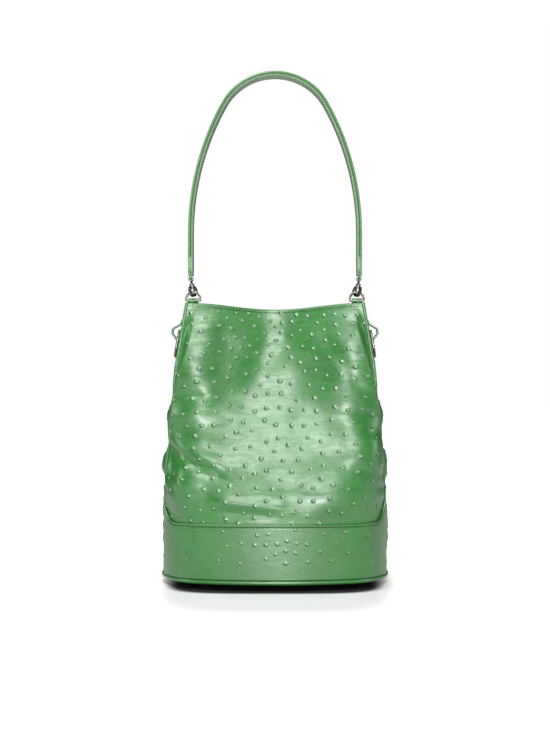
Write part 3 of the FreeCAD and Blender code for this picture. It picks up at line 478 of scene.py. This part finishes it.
def grid_faces(rows, columns, start=0, wrap_rows=False, wrap_columns=False, flip=False):
    """Quads between neighbouring points of a grid that is numbered row by row."""
    down = np.arange(rows if wrap_rows else rows - 1)[:, None]
    across = np.arange(columns if wrap_columns else columns - 1)[None, :]
    below, beside = (down + 1) % rows, (across + 1) % columns
    quads = [down * columns + across, down * columns + beside, below * columns + beside, below * columns + across]
    quads = np.stack([np.broadcast_to(q, (down.size, across.size)) for q in quads], axis=-1).reshape(-1, 4)
    return start + (quads[:, ::-1] if flip else quads)


def make_piece(name, points, faces, finish, body, numbers=None, chart=None):
    """A mesh object from points in millimetres and lists of faces, riding on a body of the bag.

    numbers are values at the points, by name; chart gives each point's place on the flat hide."""
    points = np.asarray(points, float).reshape(-1, 3)
    mesh = bpy.data.meshes.new(name)
    mesh.vertices.add(len(points))
    mesh.vertices.foreach_set("co", (points * 0.001).astype(np.float32).ravel())
    loops = np.concatenate([f.ravel() for f in faces])
    sizes = np.concatenate([np.full(len(f), f.shape[1]) for f in faces])
    mesh.loops.add(len(loops))
    mesh.loops.foreach_set("vertex_index", loops.astype(np.int32))
    mesh.polygons.add(len(sizes))
    starts = np.concatenate([[0], np.cumsum(sizes)[:-1]])
    mesh.polygons.foreach_set("loop_start", starts.astype(np.int32))
    mesh.update(calc_edges=True)
    mesh.polygons.foreach_set("use_smooth", sizes == 4)
    for key, values in (numbers or {}).items():
        mesh.attributes.new(key, "FLOAT", "POINT").data.foreach_set("value", values.astype(np.float32).ravel())
    if chart is not None:
        flat = (np.asarray(chart).reshape(-1, 2) * 0.001)[loops]
        mesh.uv_layers.new(name="hide").data.foreach_set("uv", flat.astype(np.float32).ravel())
    mesh.materials.append(finish)
    piece = bpy.data.objects.new(name, mesh)
    scene.collection.objects.link(piece)
    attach(piece, body)
    return piece


def scatter(width, low, high, spacing, seed, tries=9000):
    """Places for quills: seeded throws that are kept where no earlier one is nearer than spacing."""
    dice = np.random.default_rng(seed)
    kept = np.empty((0, 2))
    for throw in dice.uniform((-width, low), (width, high), (tries, 2)):
        apart = np.hypot(*(kept - throw).T)
        if not len(kept) or apart.min() > spacing(*throw):
            kept = np.vstack([kept, throw])
    return kept


def quill_relief(grid, quills, seed, tall=0.7, wide=2.6):
    """Height of the quills over the outer face, each a dome that leans down and to the left:
    tall * (1 - r squared) squared * (1 - 0.45 * (x + z)), with r, x and z in radii. Also where each
    point lies from its nearest quill's middle, in radii, and whether it is near one at all."""
    dice = np.random.default_rng(seed)
    rows = grid["outer_rows"]
    along, height = grid["along"][:rows], grid["height"][:rows]
    relief = np.zeros_like(along)
    marks = {"quill_x": relief.copy(), "quill_z": relief.copy(), "quill_near": relief.copy()}
    grown, stout = dice.uniform(0.7, 1.1, len(quills)), dice.uniform(0.75, 1.15, len(quills))
    for (x, z), rise, radius in zip(quills, tall * grown, wide * stout):
        near = (height.min(axis=1) < z + 6) & (height.max(axis=1) > z - 6)
        off_x, off_z = (along[near] - x) / radius, (height[near] - z) / radius
        far = np.hypot(off_x, off_z)
        relief[near] += rise * np.clip(1 - far**2, 0, None) ** 2 * (1 - 0.45 * (off_x + off_z))
        for key, values in (("quill_x", off_x), ("quill_z", off_z), ("quill_near", smooth(far, 2.2, 1.6))):
            marks[key][near] = np.where(far < 2.2, values, marks[key][near])
    return relief, marks


def wall_piece(name, grid, finish, relief=0, marks=None):
    """Makes a wall layer into a closed piece: the carried profile, and a face across each end."""
    rows, columns = grid["x"].shape
    flip = grid["side"] in ("back", "left")
    faces = [grid_faces(rows, columns, wrap_rows=True, flip=flip)]
    ends = np.arange(rows)[None, :] * columns
    for column, turned in ((0, flip), (columns - 1, not flip)):
        end = ends + column
        faces.append(end if turned else end[:, ::-1])
    numbers = {}
    for key, values in (marks or {}).items():
        numbers[key] = np.zeros((rows, columns))
        numbers[key][: grid["outer_rows"]] = values
    chart = np.stack([grid["along"], grid["height"]], axis=-1)
    return make_piece(name, wall_points(grid, relief), faces, finish, "bag", numbers, chart)


# Colours of the painted shade below each quill and of the painted highlight on its tip.
QUILL_PAINTED_SHADE, QUILL_PAINTED_HIGHLIGHT = colour(10, 52, 12), colour(158, 200, 154)


def hide_finish(name, deep, body, pale, gloss=0.355, grain=1.0, pressed=False, coat=0.7):
    """Dyed and glazed leather: blotches of a deeper and a paler green, pebbled grain with fine creases
    and level streaks, under a glaze. On pressed hide each quill has a pit below it to the left, sunk by
    bump and painted with shade, and a painted highlight on its tip."""
    deep, body, pale = (colour(*shade) for shade in (deep, body, pale))
    finish = Finish(name)
    place = finish.node("ShaderNodeTexCoord", out="Object")
    blotch = finish.noise(place, 22, 3.0, 0.5).between(0.3, 0.72)
    cloud = finish.noise(place, 120, 3.0, 0.6).between(0.35, 0.75)
    pebbles = finish.node(
        "ShaderNodeTexVoronoi", {"feature": "DISTANCE_TO_EDGE"}, {"Vector": place, "Scale": 620.0}, out="Distance"
    ).between(0.0, 0.22)
    drawn = finish.node("ShaderNodeMapping", {}, {"Vector": place, "Scale": (1.0, 1.0, 4.5)})
    streak = finish.noise(drawn, 110, 4.0, 0.6, 0.5)
    crease = 1 - ((finish.noise(drawn, 60, 5.0, 0.62, 0.8) - 0.5) * 2).maths("ABSOLUTE")
    crease = crease.between(0.88, 1.0)
    tone = finish.mixed(blotch * 0.5 + streak * 0.3, deep, body)
    tone = finish.mixed(cloud * 0.15, tone, pale)
    height = pebbles * (0.00002 * grain) - crease * (0.00009 * grain) + streak * (0.00028 * grain)
    rough = crease * 0.06 + streak * 0.16 + (gloss - 0.08)
    if pressed:
        across, up, near = (finish.attribute(f"quill_{word}") for word in ("x", "z", "near"))
        far = (across * across + up * up) ** 0.5
        # Painted highlight: a pale dot near each quill's top, where the lamp's glint would fall.
        painted_tip_highlight = (0.38 - ((across - 0.12) ** 2 + (up - 0.12) ** 2) ** 0.5).between(0, 0.2) * near
        # Painted shade: the lower left of each quill's ring, away from the lamp, is darkened in colour; the bump
        # also sinks there.
        under = (0.2 - (across + up)).between(0, 1.1)
        pit_and_painted_shade = (0.5 - (far - 0.72).maths("ABSOLUTE")).between(0, 0.42) * under * near
        tone = finish.mixed(pit_and_painted_shade * 0.85, tone, QUILL_PAINTED_SHADE)
        tone = finish.mixed(painted_tip_highlight * 0.9, tone, QUILL_PAINTED_HIGHLIGHT)
        rough = rough + pit_and_painted_shade * 0.1
        height = height - pit_and_painted_shade * 0.0003
    bump = finish.node("ShaderNodeBump", {}, {"Height": height, "Distance": 1.0, "Strength": 0.8}, out="Normal")
    inputs = {"Base Color": tone, "Roughness": rough, "Normal": bump, "Specular IOR Level": 0.8}
    inputs |= {"Coat Weight": coat, "Coat Roughness": 0.29, "Coat IOR": 1.6}
    return finish.shine(finish.node("ShaderNodeBsdfPrincipled", {}, inputs))


pressed_hide = hide_finish("pressed_hide", (24, 100, 26), (36, 121, 36), (68, 150, 66), pressed=True)

BAND_TOP, BAND_RISE, BAND_SWEEP = 64.0, 34.0, 30.0


def band_edge(less):
    """The band's upper edge, or a line below it: level, sweeping up by a cube before each seam."""

    def height(share):
        short = np.maximum(BAND_SWEEP - (1 - np.abs(share)) * BASE_RUN, 0) / BAND_SWEEP
        return BAND_TOP - less + BAND_RISE * short**3

    return height


def front_spacing(along, height):
    """Quills stand closer under the pinch of the rim and wider over the belly of the bag."""
    pinch = math.exp(-((along / 34) ** 2) - ((height - 268) / 46) ** 2)
    high = min(max((height - 150) / 100, 0), 1)
    return 11.2 - 1.4 * high - 2.6 * pinch


for wall_side, quill_seed in (("front", 21), ("back", 22)):
    panel_grid = wall_grid(
        wall_side,
        band_edge(PANEL_LAP),
        lambda share: rim_line("front", share),
        LEATHER, 0, WIDE_COLUMNS, PANEL_ROWS, SEAM_ROOM,
    )
    panel_quills = scatter(122, 58, 268, front_spacing, quill_seed)
    panel_relief, panel_marks = quill_relief(panel_grid, panel_quills, quill_seed)
    panel = wall_piece(
        f"{wall_side}_panel_hide", panel_grid, pressed_hide, panel_relief, panel_marks
    )
    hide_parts(f"{wall_side}_panel")


# --------------------
# Gussets: one narrow strip of the same pressed hide at each side, from the base to the rim, slack
# enough to buckle where the mouth draws the bag in.

WALL_FOOT = 10.9
GUSSET_COLUMNS, GUSSET_ROWS = 75, 330

for wall_side, quill_seed in (("left", 31), ("right", 32)):
    gusset_grid = wall_grid(
        wall_side, at_height(WALL_FOOT), at_height(RIM_HEIGHT), LEATHER, 0, GUSSET_COLUMNS, GUSSET_ROWS, SEAM_ROOM
    )
    gusset_quills = scatter(29, 16, 270, lambda along, height: 11.5, quill_seed, 3000)
    gusset_relief, gusset_marks = quill_relief(gusset_grid, gusset_quills, quill_seed, tall=0.55)
    gusset = wall_piece(
        f"{wall_side}_gusset_hide", gusset_grid, pressed_hide, gusset_relief, gusset_marks
    )
    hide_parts(f"{wall_side}_gusset")


# --------------------
# Bands: smoother hide sewn over the foot of the front and back panels. The upper edge is turned in,
# so it stands as a soft bead above its line of stitches, and only a few flat quills show.

BAND_LEATHER, BAND_GAP, BAND_ROWS = 1.6, 0.4, 110
BEAD, SEWN_IN, STITCH_DROP = 0.55, 0.3, 2.9
band_hide = hide_finish(
    "band_hide", (26, 98, 28), (38, 118, 37), (64, 142, 62), gloss=0.4, grain=0.7, pressed=True
)


def band_spacing(along, height):
    """Only the band's middle and a few places beside it show quills."""
    shown = math.exp(-(((along - 8) / 62) ** 2) - ((height - 45) / 18) ** 2)
    return 8.6 + 18 * (1 - shown) ** 2


for wall_side, quill_seed in (("front", 41), ("back", 42)):
    band_grid = wall_grid(
        wall_side,
        at_height(WALL_FOOT),
        band_edge(0),
        BAND_LEATHER, -BAND_GAP - BAND_LEATHER, WIDE_COLUMNS, BAND_ROWS, SEAM_ROOM,
    )
    band_quills = scatter(100, 24, 60, band_spacing, quill_seed, 2500)
    band_relief, band_marks = quill_relief(band_grid, band_quills, quill_seed, tall=0.4, wide=2.1)
    upper_edge = band_edge(0)(np.linspace(-1, 1, WIDE_COLUMNS))[None, :]
    below_edge = upper_edge - band_grid["height"][: band_grid["outer_rows"]]
    band_relief = band_relief + BEAD * np.exp(-(((below_edge - 1.0) / 1.5) ** 4))
    band_relief = band_relief - SEWN_IN * np.exp(-(((below_edge - STITCH_DROP) / 0.7) ** 2))
    band = wall_piece(f"{wall_side}_band_hide", band_grid, band_hide, band_relief, band_marks)
    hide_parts(f"{wall_side}_band")


# --------------------
# Pipings: a cord wrapped in glazed hide, one caught in each of the four seams and a thicker one round
# the base. The wrapping puckers a little, so the roll isn't quite even.

BASE_WELT, BASE_WELT_OUT, FOOT = 2.3, 1.5, 6.2
SEAM_POINTS, SEAM_AROUND, BASE_POINTS, BASE_AROUND, PUCKER = 260, 20, 900, 24, 0.05
piping_hide = hide_finish(
    "piping_hide", (40, 108, 42), (56, 130, 56), (88, 160, 86), gloss=0.3, grain=0.6, coat=0.5
)


def frames(path, aside, closed=False):
    """Along, aside and the third direction at each point of a path, square to each other."""
    if closed:
        ahead = np.roll(path, -1, axis=0) - np.roll(path, 1, axis=0)
    else:
        ahead = np.gradient(path, axis=0)
    ahead /= np.linalg.norm(ahead, axis=1, keepdims=True)
    aside = np.broadcast_to(aside, path.shape)
    aside = aside - ahead * np.sum(aside * ahead, axis=1, keepdims=True)
    aside /= np.linalg.norm(aside, axis=1, keepdims=True)
    return ahead, aside, np.cross(ahead, aside)


def carried(name, path, aside, profile, finish, body, closed=False, proud=None):
    """A profile carried along a path. profile is points (aside, third), one set or one for each point of
    the path; proud moves each of them out from the profile's middle. Open ends get a face."""
    _, side, third = frames(path, aside, closed)
    profile = np.broadcast_to(profile, (len(path),) + np.shape(profile)[-2:])
    if proud is not None:
        middle = profile.mean(axis=1, keepdims=True)
        out = profile - middle
        profile = profile + out / np.linalg.norm(out, axis=-1, keepdims=True) * proud[..., None]
    points = path[:, None, :] + profile[..., :1] * side[:, None, :] + profile[..., 1:] * third[:, None, :]
    rows, columns = profile.shape[:2]
    across = np.roll(profile[0], -1, axis=0)
    area = np.sum(profile[0, :, 0] * across[:, 1] - across[:, 0] * profile[0, :, 1])
    flip = area > 0
    faces = [grid_faces(rows, columns, wrap_rows=closed, wrap_columns=True, flip=flip)]
    if not closed:
        first = np.arange(columns)[None, :]
        last = first + (rows - 1) * columns
        faces += [first if flip else first[:, ::-1], last[:, ::-1] if flip else last]
    step = np.linalg.norm(np.diff(path, axis=0), axis=1)
    walked = np.concatenate([[0], np.cumsum(step)])
    round_it = np.cumsum(np.linalg.norm(np.diff(profile[0], axis=0, prepend=profile[0][:1]), axis=1))
    chart = np.stack(np.broadcast_arrays(walked[:, None], round_it[None, :]), axis=-1)
    return make_piece(name, points, faces, finish, body, chart=chart)


def ring_profile(radius, around):
    """Points of a circle."""
    turn = np.linspace(0, 2 * np.pi, around, endpoint=False)
    return np.stack([radius * np.cos(turn), radius * np.sin(turn)], axis=-1)


def puckers(count, around, seed):
    """Slow unevenness along a roll: seeded bumps of about PUCKER, smoothed by a running mean."""
    dice = np.random.default_rng(seed)
    rough = dice.normal(0, 1, (count + 8, around))
    rough = sum(rough[shift : shift + count] for shift in range(8)) / 8
    return PUCKER * (rough + np.roll(rough, 1, axis=1) + np.roll(rough, -1, axis=1)) / 2


seam_height = np.linspace(WALL_FOOT - 1, RIM_HEIGHT + 0.4, SEAM_POINTS)
for wide, along_y in (("front", -1), ("back", 1)):
    for narrow, across in (("left", -1), ("right", 1)):
        seam_end, gusset_end = 0 * seam_height + across, 0 * seam_height + along_y
        seam_x, seam_y = wall_plan(wide, seam_end, seam_height)
        inward = np.add(wall_inward(wide, seam_end, seam_height), wall_inward(narrow, gusset_end, seam_height))
        inward /= np.linalg.norm(inward, axis=0)
        sunk = SEAM_WELT - SEAM_WELT_OUT
        seam_path = np.stack([seam_x + inward[0] * sunk, seam_y + inward[1] * sunk, seam_height], axis=-1)
        piping = carried(
            f"{wide}_{narrow}_piping_roll", seam_path, (1, 0, 0), ring_profile(SEAM_WELT, SEAM_AROUND),
            piping_hide, "bag", proud=puckers(SEAM_POINTS, SEAM_AROUND, 51),
        )
        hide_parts(f"{wide}_{narrow}_piping")


def base_outline(inset):
    """The whole base oval, moved in by inset: points spaced evenly, walked from the middle of the
    front towards +X."""
    share = np.linspace(0, 1, 400)
    front_x, front_y = base_oval(share)
    side_share = np.linspace(-1, 0, 120)[1:]
    side_x = BASE_X - SIDE_RADIUS * (1 - np.cos(SEAM_ANGLE * side_share))
    side_y = SIDE_RADIUS * np.sin(SEAM_ANGLE * side_share)
    quarter = np.stack([np.append(front_x, side_x), np.append(front_y, side_y)], axis=-1)
    half = np.vstack([quarter, quarter[-2::-1] * (1, -1)])
    whole = np.vstack([half, half[-2:0:-1] * (-1, 1)])
    loop = np.vstack([whole, whole[:1]])
    walked = np.concatenate([[0], np.cumsum(np.hypot(*np.diff(loop, axis=0).T))])
    even = np.linspace(0, walked[-1], BASE_POINTS, endpoint=False)
    loop = np.stack([np.interp(even, walked, loop[:, 0]), np.interp(even, walked, loop[:, 1])], axis=-1)
    ahead = np.roll(loop, -1, axis=0) - np.roll(loop, 1, axis=0)
    ahead /= np.linalg.norm(ahead, axis=1, keepdims=True)
    return loop + np.stack([-ahead[:, 1], ahead[:, 0]], axis=-1) * inset


base_loop = base_outline(BASE_WELT - BASE_WELT_OUT)
base_path = np.column_stack([base_loop, np.full(BASE_POINTS, FOOT + BASE_WELT)])
base_roll = carried(
    "base_piping_roll", base_path, (0, 0, 1), ring_profile(BASE_WELT, BASE_AROUND), piping_hide, "bag",
    closed=True, proud=puckers(BASE_POINTS, BASE_AROUND, 52),
)
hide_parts("base_piping")


# --------------------
# Linings and facings: a twill lining that hangs with the walls, and a strip of smooth leather inside
# the rim that the lining is sewn to.

LINING, FACING, LINING_GAP, LAYER_GAP = 1.0, 1.2, 0.6, 0.3
FACING_DEPTH, LINING_FOOT, LINING_ROOM = 32.0, 12.15, 0.3
RIB_PITCH, WEFT_PITCH = 0.0009, 0.0005


def twill_finish(name, light, dark):
    """Twill: diagonal ribs of thread crossed by finer weft, a little faded in places."""
    finish = Finish(name)
    place = finish.node("ShaderNodeTexCoord", out="Object")
    flat = finish.node("ShaderNodeUVMap", {"uv_map": "hide"})
    across = finish.node("ShaderNodeSeparateXYZ", {}, {"Vector": flat})
    up = Socket(finish, across.socket.node.outputs[1])
    rib = ((across + up) * (2 * math.pi / RIB_PITCH)).maths("SINE") * 0.5 + 0.5
    weft = (up * (2 * math.pi / WEFT_PITCH)).maths("SINE") * 0.5 + 0.5
    thread = rib * 0.7 + weft * 0.3
    faded = finish.noise(place, 30).between(0.35, 0.7)
    tone = finish.mixed(thread * 0.7 + faded * 0.3, dark, light)
    bump = finish.node("ShaderNodeBump", {}, {"Height": thread * 0.00012, "Distance": 1.0}, out="Normal")
    inputs = {"Base Color": tone, "Roughness": 0.9 - thread * 0.1, "Normal": bump, "Sheen Weight": 0.2}
    return finish.shine(finish.node("ShaderNodeBsdfPrincipled", {}, inputs))


lining_cloth = twill_finish("lining_cloth", colour(150, 138, 116), colour(104, 94, 76))
facing_hide = hide_finish(
    "facing_hide", (56, 112, 60), (74, 132, 75), (96, 154, 96), gloss=0.45, grain=0.8, coat=0.2
)
for wall_side in ("front", "back", "left", "right"):
    columns = 201 if wall_side in ("front", "back") else 61
    lining_grid = wall_grid(
        wall_side,
        at_height(LINING_FOOT),
        lambda share: rim_line(wall_side, share) - FACING_DEPTH - LAYER_GAP,
        LINING, LEATHER + LINING_GAP, columns, 150, LINING_ROOM, 60,
    )
    lining_piece = wall_piece(f"{wall_side}_lining_cloth", lining_grid, lining_cloth)
    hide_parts(f"{wall_side}_lining")
    facing_grid = wall_grid(
        wall_side,
        lambda share: rim_line(wall_side, share) - FACING_DEPTH,
        lambda share: rim_line(wall_side, share),
        FACING, LEATHER + LINING_GAP, columns, 40, LINING_ROOM, 30,
    )
    facing_piece = wall_piece(f"{wall_side}_facing_hide", facing_grid, facing_hide)
    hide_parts(f"{wall_side}_facing")


# --------------------
# Rim and band stitches: waxed thread in dark green, about eight to the inch, that sinks into a narrow
# crease. Each stitch is a short grain of thread, thickest in its middle.

THREAD, STITCH_PITCH, STITCH_LONG, GRAIN = 0.5, 3.1, 2.4, 6


def thread_finish(name, deep, pale):
    """Waxed thread: fine turns along each stitch, paler where the light catches the wax."""
    finish = Finish(name)
    place = finish.node("ShaderNodeTexCoord", out="Object")
    twist = finish.noise(place, 1900, 2.0)
    bump = finish.node("ShaderNodeBump", {}, {"Height": twist * 0.00005, "Distance": 1.0}, out="Normal")
    tone = finish.mixed(twist.between(0.35, 0.7), deep, pale)
    inputs = {"Base Color": tone, "Roughness": 0.62 - twist * 0.12, "Normal": bump}
    return finish.shine(finish.node("ShaderNodeBsdfPrincipled", {}, inputs))


dark_thread = thread_finish("dark_thread", colour(12, 40, 18), colour(28, 70, 34))


def stitch_row(name, path, outward, body="bag"):
    """Stitches along a path, each a spindle laid on the surface: its radius is THREAD times the square
    root of sin(pi * part), and its ends dip below the leather."""
    step = np.linalg.norm(np.diff(path, axis=0), axis=1)
    walked = np.concatenate([[0], np.cumsum(step)])
    count = int(walked[-1] / STITCH_PITCH)
    spots = (np.arange(count) + 0.5) * walked[-1] / count
    middle, ahead, up, aside = (
        np.stack([np.interp(spots, walked, way[:, axis]) for axis in range(3)], axis=-1)[:, None, None]
        for way in (path, *frames(path, outward))
    )
    part = np.linspace(0.03, 0.97, GRAIN)[:, None, None]
    turn = np.linspace(0, 2 * np.pi, GRAIN, endpoint=False)[:, None]
    thick = np.sin(np.pi * part)
    round_it = (up * np.cos(turn) + aside * np.sin(turn)) * THREAD * np.sqrt(thick)
    points = middle + ahead * (part - 0.5) * STITCH_LONG + up * THREAD * (0.35 * thick - 0.2) + round_it
    starts = np.arange(count)[:, None] * GRAIN**2
    quads = grid_faces(GRAIN, GRAIN, wrap_columns=True, flip=True)[None] + starts[:, :, None]
    first_ring = np.arange(GRAIN)[None, :] + starts
    last_ring = GRAIN**2 - 1 - np.arange(GRAIN)[None, :] + starts
    return make_piece(name, points, [quads.reshape(-1, 4), first_ring, last_ring], dark_thread, body)


def on_wall(side, share, height, proud):
    """Points on a wall's outer face and the directions out of it."""
    x, y = wall_plan(side, share, height)
    in_x, in_y = wall_inward(side, share, height)
    points = np.stack([x - in_x * proud, y - in_y * proud, height], axis=-1)
    return points, np.stack([-in_x, -in_y, 0 * in_x], axis=-1)


RIM_STITCH_DROP = 3.2
for wall_side in ("front", "back", "left", "right"):
    reach = 0.975 if wall_side in ("front", "back") else 0.93
    share = np.linspace(-reach, reach, 160)
    points, outward = on_wall(wall_side, share, rim_line(wall_side, share) - RIM_STITCH_DROP, -0.05)
    stitch_row(f"{wall_side}_rim_stitches", points, outward)
for wall_side in ("front", "back"):
    share = np.linspace(-0.985, 0.985, 420)
    points, outward = on_wall(wall_side, share, band_edge(STITCH_DROP)(share), BAND_GAP + BAND_LEATHER - 0.15)
    stitch_row(f"{wall_side}_band_stitches", points, outward)


# --------------------
# Base: a stiff leather panel screwed to a fibre board by four domed metal feet, each on a shank that is
# riveted over a washer inside, under the lining's floor.


def metal_finish(name, dark, bright, gloss):
    """Polished dark nickel: a brownish plate with fine wiping scratches and duller patches."""
    finish = Finish(name)
    place = finish.node("ShaderNodeTexCoord", out="Object")
    drawn = finish.node("ShaderNodeMapping", {}, {"Vector": place, "Scale": (1.0, 1.0, 7.0)})
    wiped = finish.noise(drawn, 700, 3.0, 0.6)
    dull = finish.noise(place, 160, 3.0, 0.55).between(0.4, 0.7)
    bump = finish.node("ShaderNodeBump", {}, {"Height": wiped * 0.000006, "Distance": 1.0}, out="Normal")
    tone = finish.mixed(dull * 0.6 + wiped * 0.3, bright, dark)
    rough = wiped * 0.1 + dull * 0.1 + gloss
    inputs = {"Base Color": tone, "Metallic": 1.0, "Roughness": rough, "Normal": bump}
    return finish.shine(finish.node("ShaderNodeBsdfPrincipled", {}, inputs))


def board_finish(name, tone_dark, tone_pale):
    """Pressed fibre board: flecks and a matt, slightly hairy face."""
    finish = Finish(name)
    place = finish.node("ShaderNodeTexCoord", out="Object")
    fleck = finish.noise(place, 900, 4.0, 0.7)
    bump = finish.node("ShaderNodeBump", {}, {"Height": fleck * 0.0001, "Distance": 1.0}, out="Normal")
    inputs = {"Base Color": finish.mixed(fleck, tone_dark, tone_pale), "Roughness": 0.8 + fleck * 0.15}
    return finish.shine(finish.node("ShaderNodeBsdfPrincipled", {}, {**inputs, "Normal": bump}))


def dress(node, finish):
    """Gives a CAD node whose shape is right its finish."""
    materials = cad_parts[node].data.materials
    materials.clear()
    materials.append(finish)


SHARP = math.radians(35)


def softened(node, finish, body, bevel, segments=3):
    """A copy of a CAD node with its facets joined, its corners rounded by bevel millimetres and its
    round faces smooth."""
    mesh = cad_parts[node].data.copy()
    piece = bpy.data.objects.new(f"{node}_finished", mesh)
    scene.collection.objects.link(piece)
    shape = bmesh.new()
    shape.from_mesh(mesh)
    bmesh.ops.remove_doubles(shape, verts=shape.verts, dist=2e-6)
    flat = math.radians(1)
    bmesh.ops.dissolve_limit(shape, angle_limit=flat, verts=shape.verts, edges=shape.edges, delimit={"NORMAL"})
    shape.to_mesh(mesh)
    shape.free()
    mesh.materials.clear()
    mesh.materials.append(finish)
    mesh.shade_smooth()
    mesh.set_sharp_from_angle(angle=SHARP)
    if bevel:
        rounding = piece.modifiers.new("rounded_corners", "BEVEL")
        rounding.width = bevel * 0.001
        rounding.segments = segments
        rounding.limit_method = "ANGLE"
        rounding.angle_limit = SHARP
        rounding.harden_normals = True
    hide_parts(node)
    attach(piece, body)


dark_nickel = metal_finish("dark_nickel", colour(66, 60, 54), colour(138, 130, 120), 0.16)
base_hide = hide_finish(
    "base_hide", (44, 100, 46), (56, 122, 56), (80, 146, 78), gloss=0.5, grain=1.2, coat=0.15
)
fibre_board = board_finish("fibre_board", colour(44, 40, 36), colour(78, 72, 64))
edge_paint = board_finish("edge_paint", colour(40, 84, 40), colour(66, 112, 62))
dress("base_panel", base_hide)
dress("base_board", fibre_board)
dress("strap_core", edge_paint)
dress("lining_bottom", lining_cloth)
dress("foot_washers", dark_nickel)
softened("base_feet", dark_nickel, "bag", 0.5)


# --------------------
# Closure: a magnetic snap of dark nickel, its stud on the front facing and its socket on the back one.

for half in ("stud", "socket"):
    softened(f"snap_{half}", dark_nickel, "bag", 0.35)


# --------------------
# Tabs: leather chapes that hold the rings, one inside each gusset's rim and one bulging from each
# gusset below it, with painted edges.

tab_hide = hide_finish("tab_hide", (42, 104, 44), (58, 128, 56), (92, 160, 88), gloss=0.36, grain=0.6, coat=0.5)
for word in ("left", "right"):
    softened(f"{word}_rim_tab", tab_hide, "bag", 0.45)
    softened(f"{word}_side_tab", tab_hide, "bag", 0.4)


# --------------------
# Rings, hooks and swivels: cast and plated, all in the same dark nickel. Each hook turns on the post of
# its swivel eye, and its gate turns on a pin.

for word in ("left", "right"):
    softened(f"{word}_rim_ring", dark_nickel, "handle", 0)
    softened(f"{word}_side_ring", dark_nickel, f"{word}_side_ring_body", 0)
    softened(f"{word}_swivel_eye", dark_nickel, "handle", 0.15, 2)
    softened(f"{word}_hook", dark_nickel, f"{word}_hook_body", 0.5)
    softened(f"{word}_gate", dark_nickel, f"{word}_gate_body", 0.2, 2)
    softened(f"{word}_gate_pin", dark_nickel, f"{word}_hook_body", 0.1, 2)


# --------------------
# Strap: two leathers glued over a filler, stitched 2.4 mm from both edges, their edges rolled towards
# each other and painted, so that only a dark groove shows between them.

STRAP_HALF_WIDTH, STRAP_HALF, GROOVE_HALF, STRAP_POINTS = 11.0, 2.5, 0.05, 520
HALF_SPAN, STRAP_TOP, CROWN = 84.0, 508.0, 58.0
SPRING, STRAP_END, STRAP_STITCH_IN = 347.0, 304.5, 2.4
CROWN_HEIGHT = STRAP_TOP - STRAP_HALF - CROWN
LEG = (HALF_SPAN**2 + (CROWN_HEIGHT - SPRING) ** 2 - CROWN**2) / (2 * (HALF_SPAN - CROWN))
LEG_ANGLE = math.atan2(CROWN_HEIGHT - SPRING, LEG - HALF_SPAN)


def arch():
    """Middle line of the strap from the left end over the top to the right end: a straight leg, a wide
    arc, a crown arc, and the same again mirrored. Returns points and the directions away from the arm."""
    straight, side, half_crown = SPRING - STRAP_END, LEG * LEG_ANGLE, CROWN * (math.pi / 2 - LEG_ANGLE)
    whole = straight + side + half_crown
    walked = np.linspace(-whole, whole, STRAP_POINTS)
    left = whole - np.abs(walked)
    lean = np.clip((left - straight) / LEG, 0, LEG_ANGLE)
    turn = LEG_ANGLE + np.clip(left - straight - side, 0, None) / CROWN
    on_crown = left > straight + side
    x = np.where(on_crown, CROWN * np.cos(turn), HALF_SPAN - LEG * (1 - np.cos(lean)))
    leg_z = np.minimum(STRAP_END + left, SPRING) + LEG * np.sin(lean)
    z = np.where(on_crown, CROWN_HEIGHT + CROWN * np.sin(turn), leg_z)
    angle = np.where(on_crown, turn, lean)
    sign = np.where(walked < 0, -1, 1)
    path = np.stack([sign * x, 0 * x, z], axis=-1)
    away = np.stack([sign * np.cos(angle), 0 * x, np.sin(angle)], axis=-1)
    return path, away, left


def strap_profile(out):
    """Section of the strap's outer leather, or of its lining where out is -1, as points (away from the
    arm, across): flat inside, its face crowned between two stitch lines, its edges rolled round so that
    both leathers make one bead."""
    turn = np.linspace(0, np.pi / 2, 12)
    roll = STRAP_HALF - GROOVE_HALF
    face = np.linspace(STRAP_HALF_WIDTH - roll, roll - STRAP_HALF_WIDTH, 46)[1:-1]
    from_edge = STRAP_HALF_WIDTH - np.abs(face) - STRAP_STITCH_IN
    sewn = 0.4 * np.exp(-((from_edge / 0.8) ** 2))
    crown = 0.1 * (1 - (face / STRAP_HALF_WIDTH) ** 2)
    rolled = STRAP_HALF_WIDTH - roll * (1 - np.cos(turn))
    across = np.concatenate([rolled, face, -rolled[::-1]])
    away = GROOVE_HALF + roll * np.sin(turn)
    away = np.concatenate([away, STRAP_HALF + crown - sewn, away[::-1]])
    return np.stack([out * away, across], axis=-1)


strap_hide = hide_finish(
    "strap_hide", (88, 134, 86), (116, 160, 112), (150, 186, 146), gloss=0.36, grain=0.2, coat=0.5
)
strap_back_hide = hide_finish(
    "strap_back_hide", (112, 142, 108), (138, 166, 134), (160, 184, 156), gloss=0.5, grain=0.2, coat=0.2
)
strap_path, strap_away, from_end = arch()
narrowed = 1 - 0.42 * (1 - smooth(from_end, 0, 7)) ** 1.5
sewn_part, sewn_down = slice(14, -14), 0.45
for layer, out, layer_hide in (("outer", 1, strap_hide), ("lining", -1, strap_back_hide)):
    sections = np.repeat(strap_profile(out)[None], STRAP_POINTS, axis=0)
    sections[..., 1] *= narrowed[:, None]
    strap = carried(f"strap_{layer}_hide", strap_path, strap_away, sections, layer_hide, "handle")
    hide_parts(f"strap_{layer}")
    for side_name, edge in (("front", -1), ("back", 1)):
        line = strap_path + strap_away * (STRAP_HALF - sewn_down) * out
        line[:, 1] = edge * (STRAP_HALF_WIDTH - STRAP_STITCH_IN)
        stitch_row(
            f"strap_{layer}_{side_name}_stitches", line[sewn_part], out * strap_away[sewn_part],
            "handle",
        )

for word in ("left", "right"):
    softened(f"{word}_strap_end", tab_hide, "handle", 0.3)
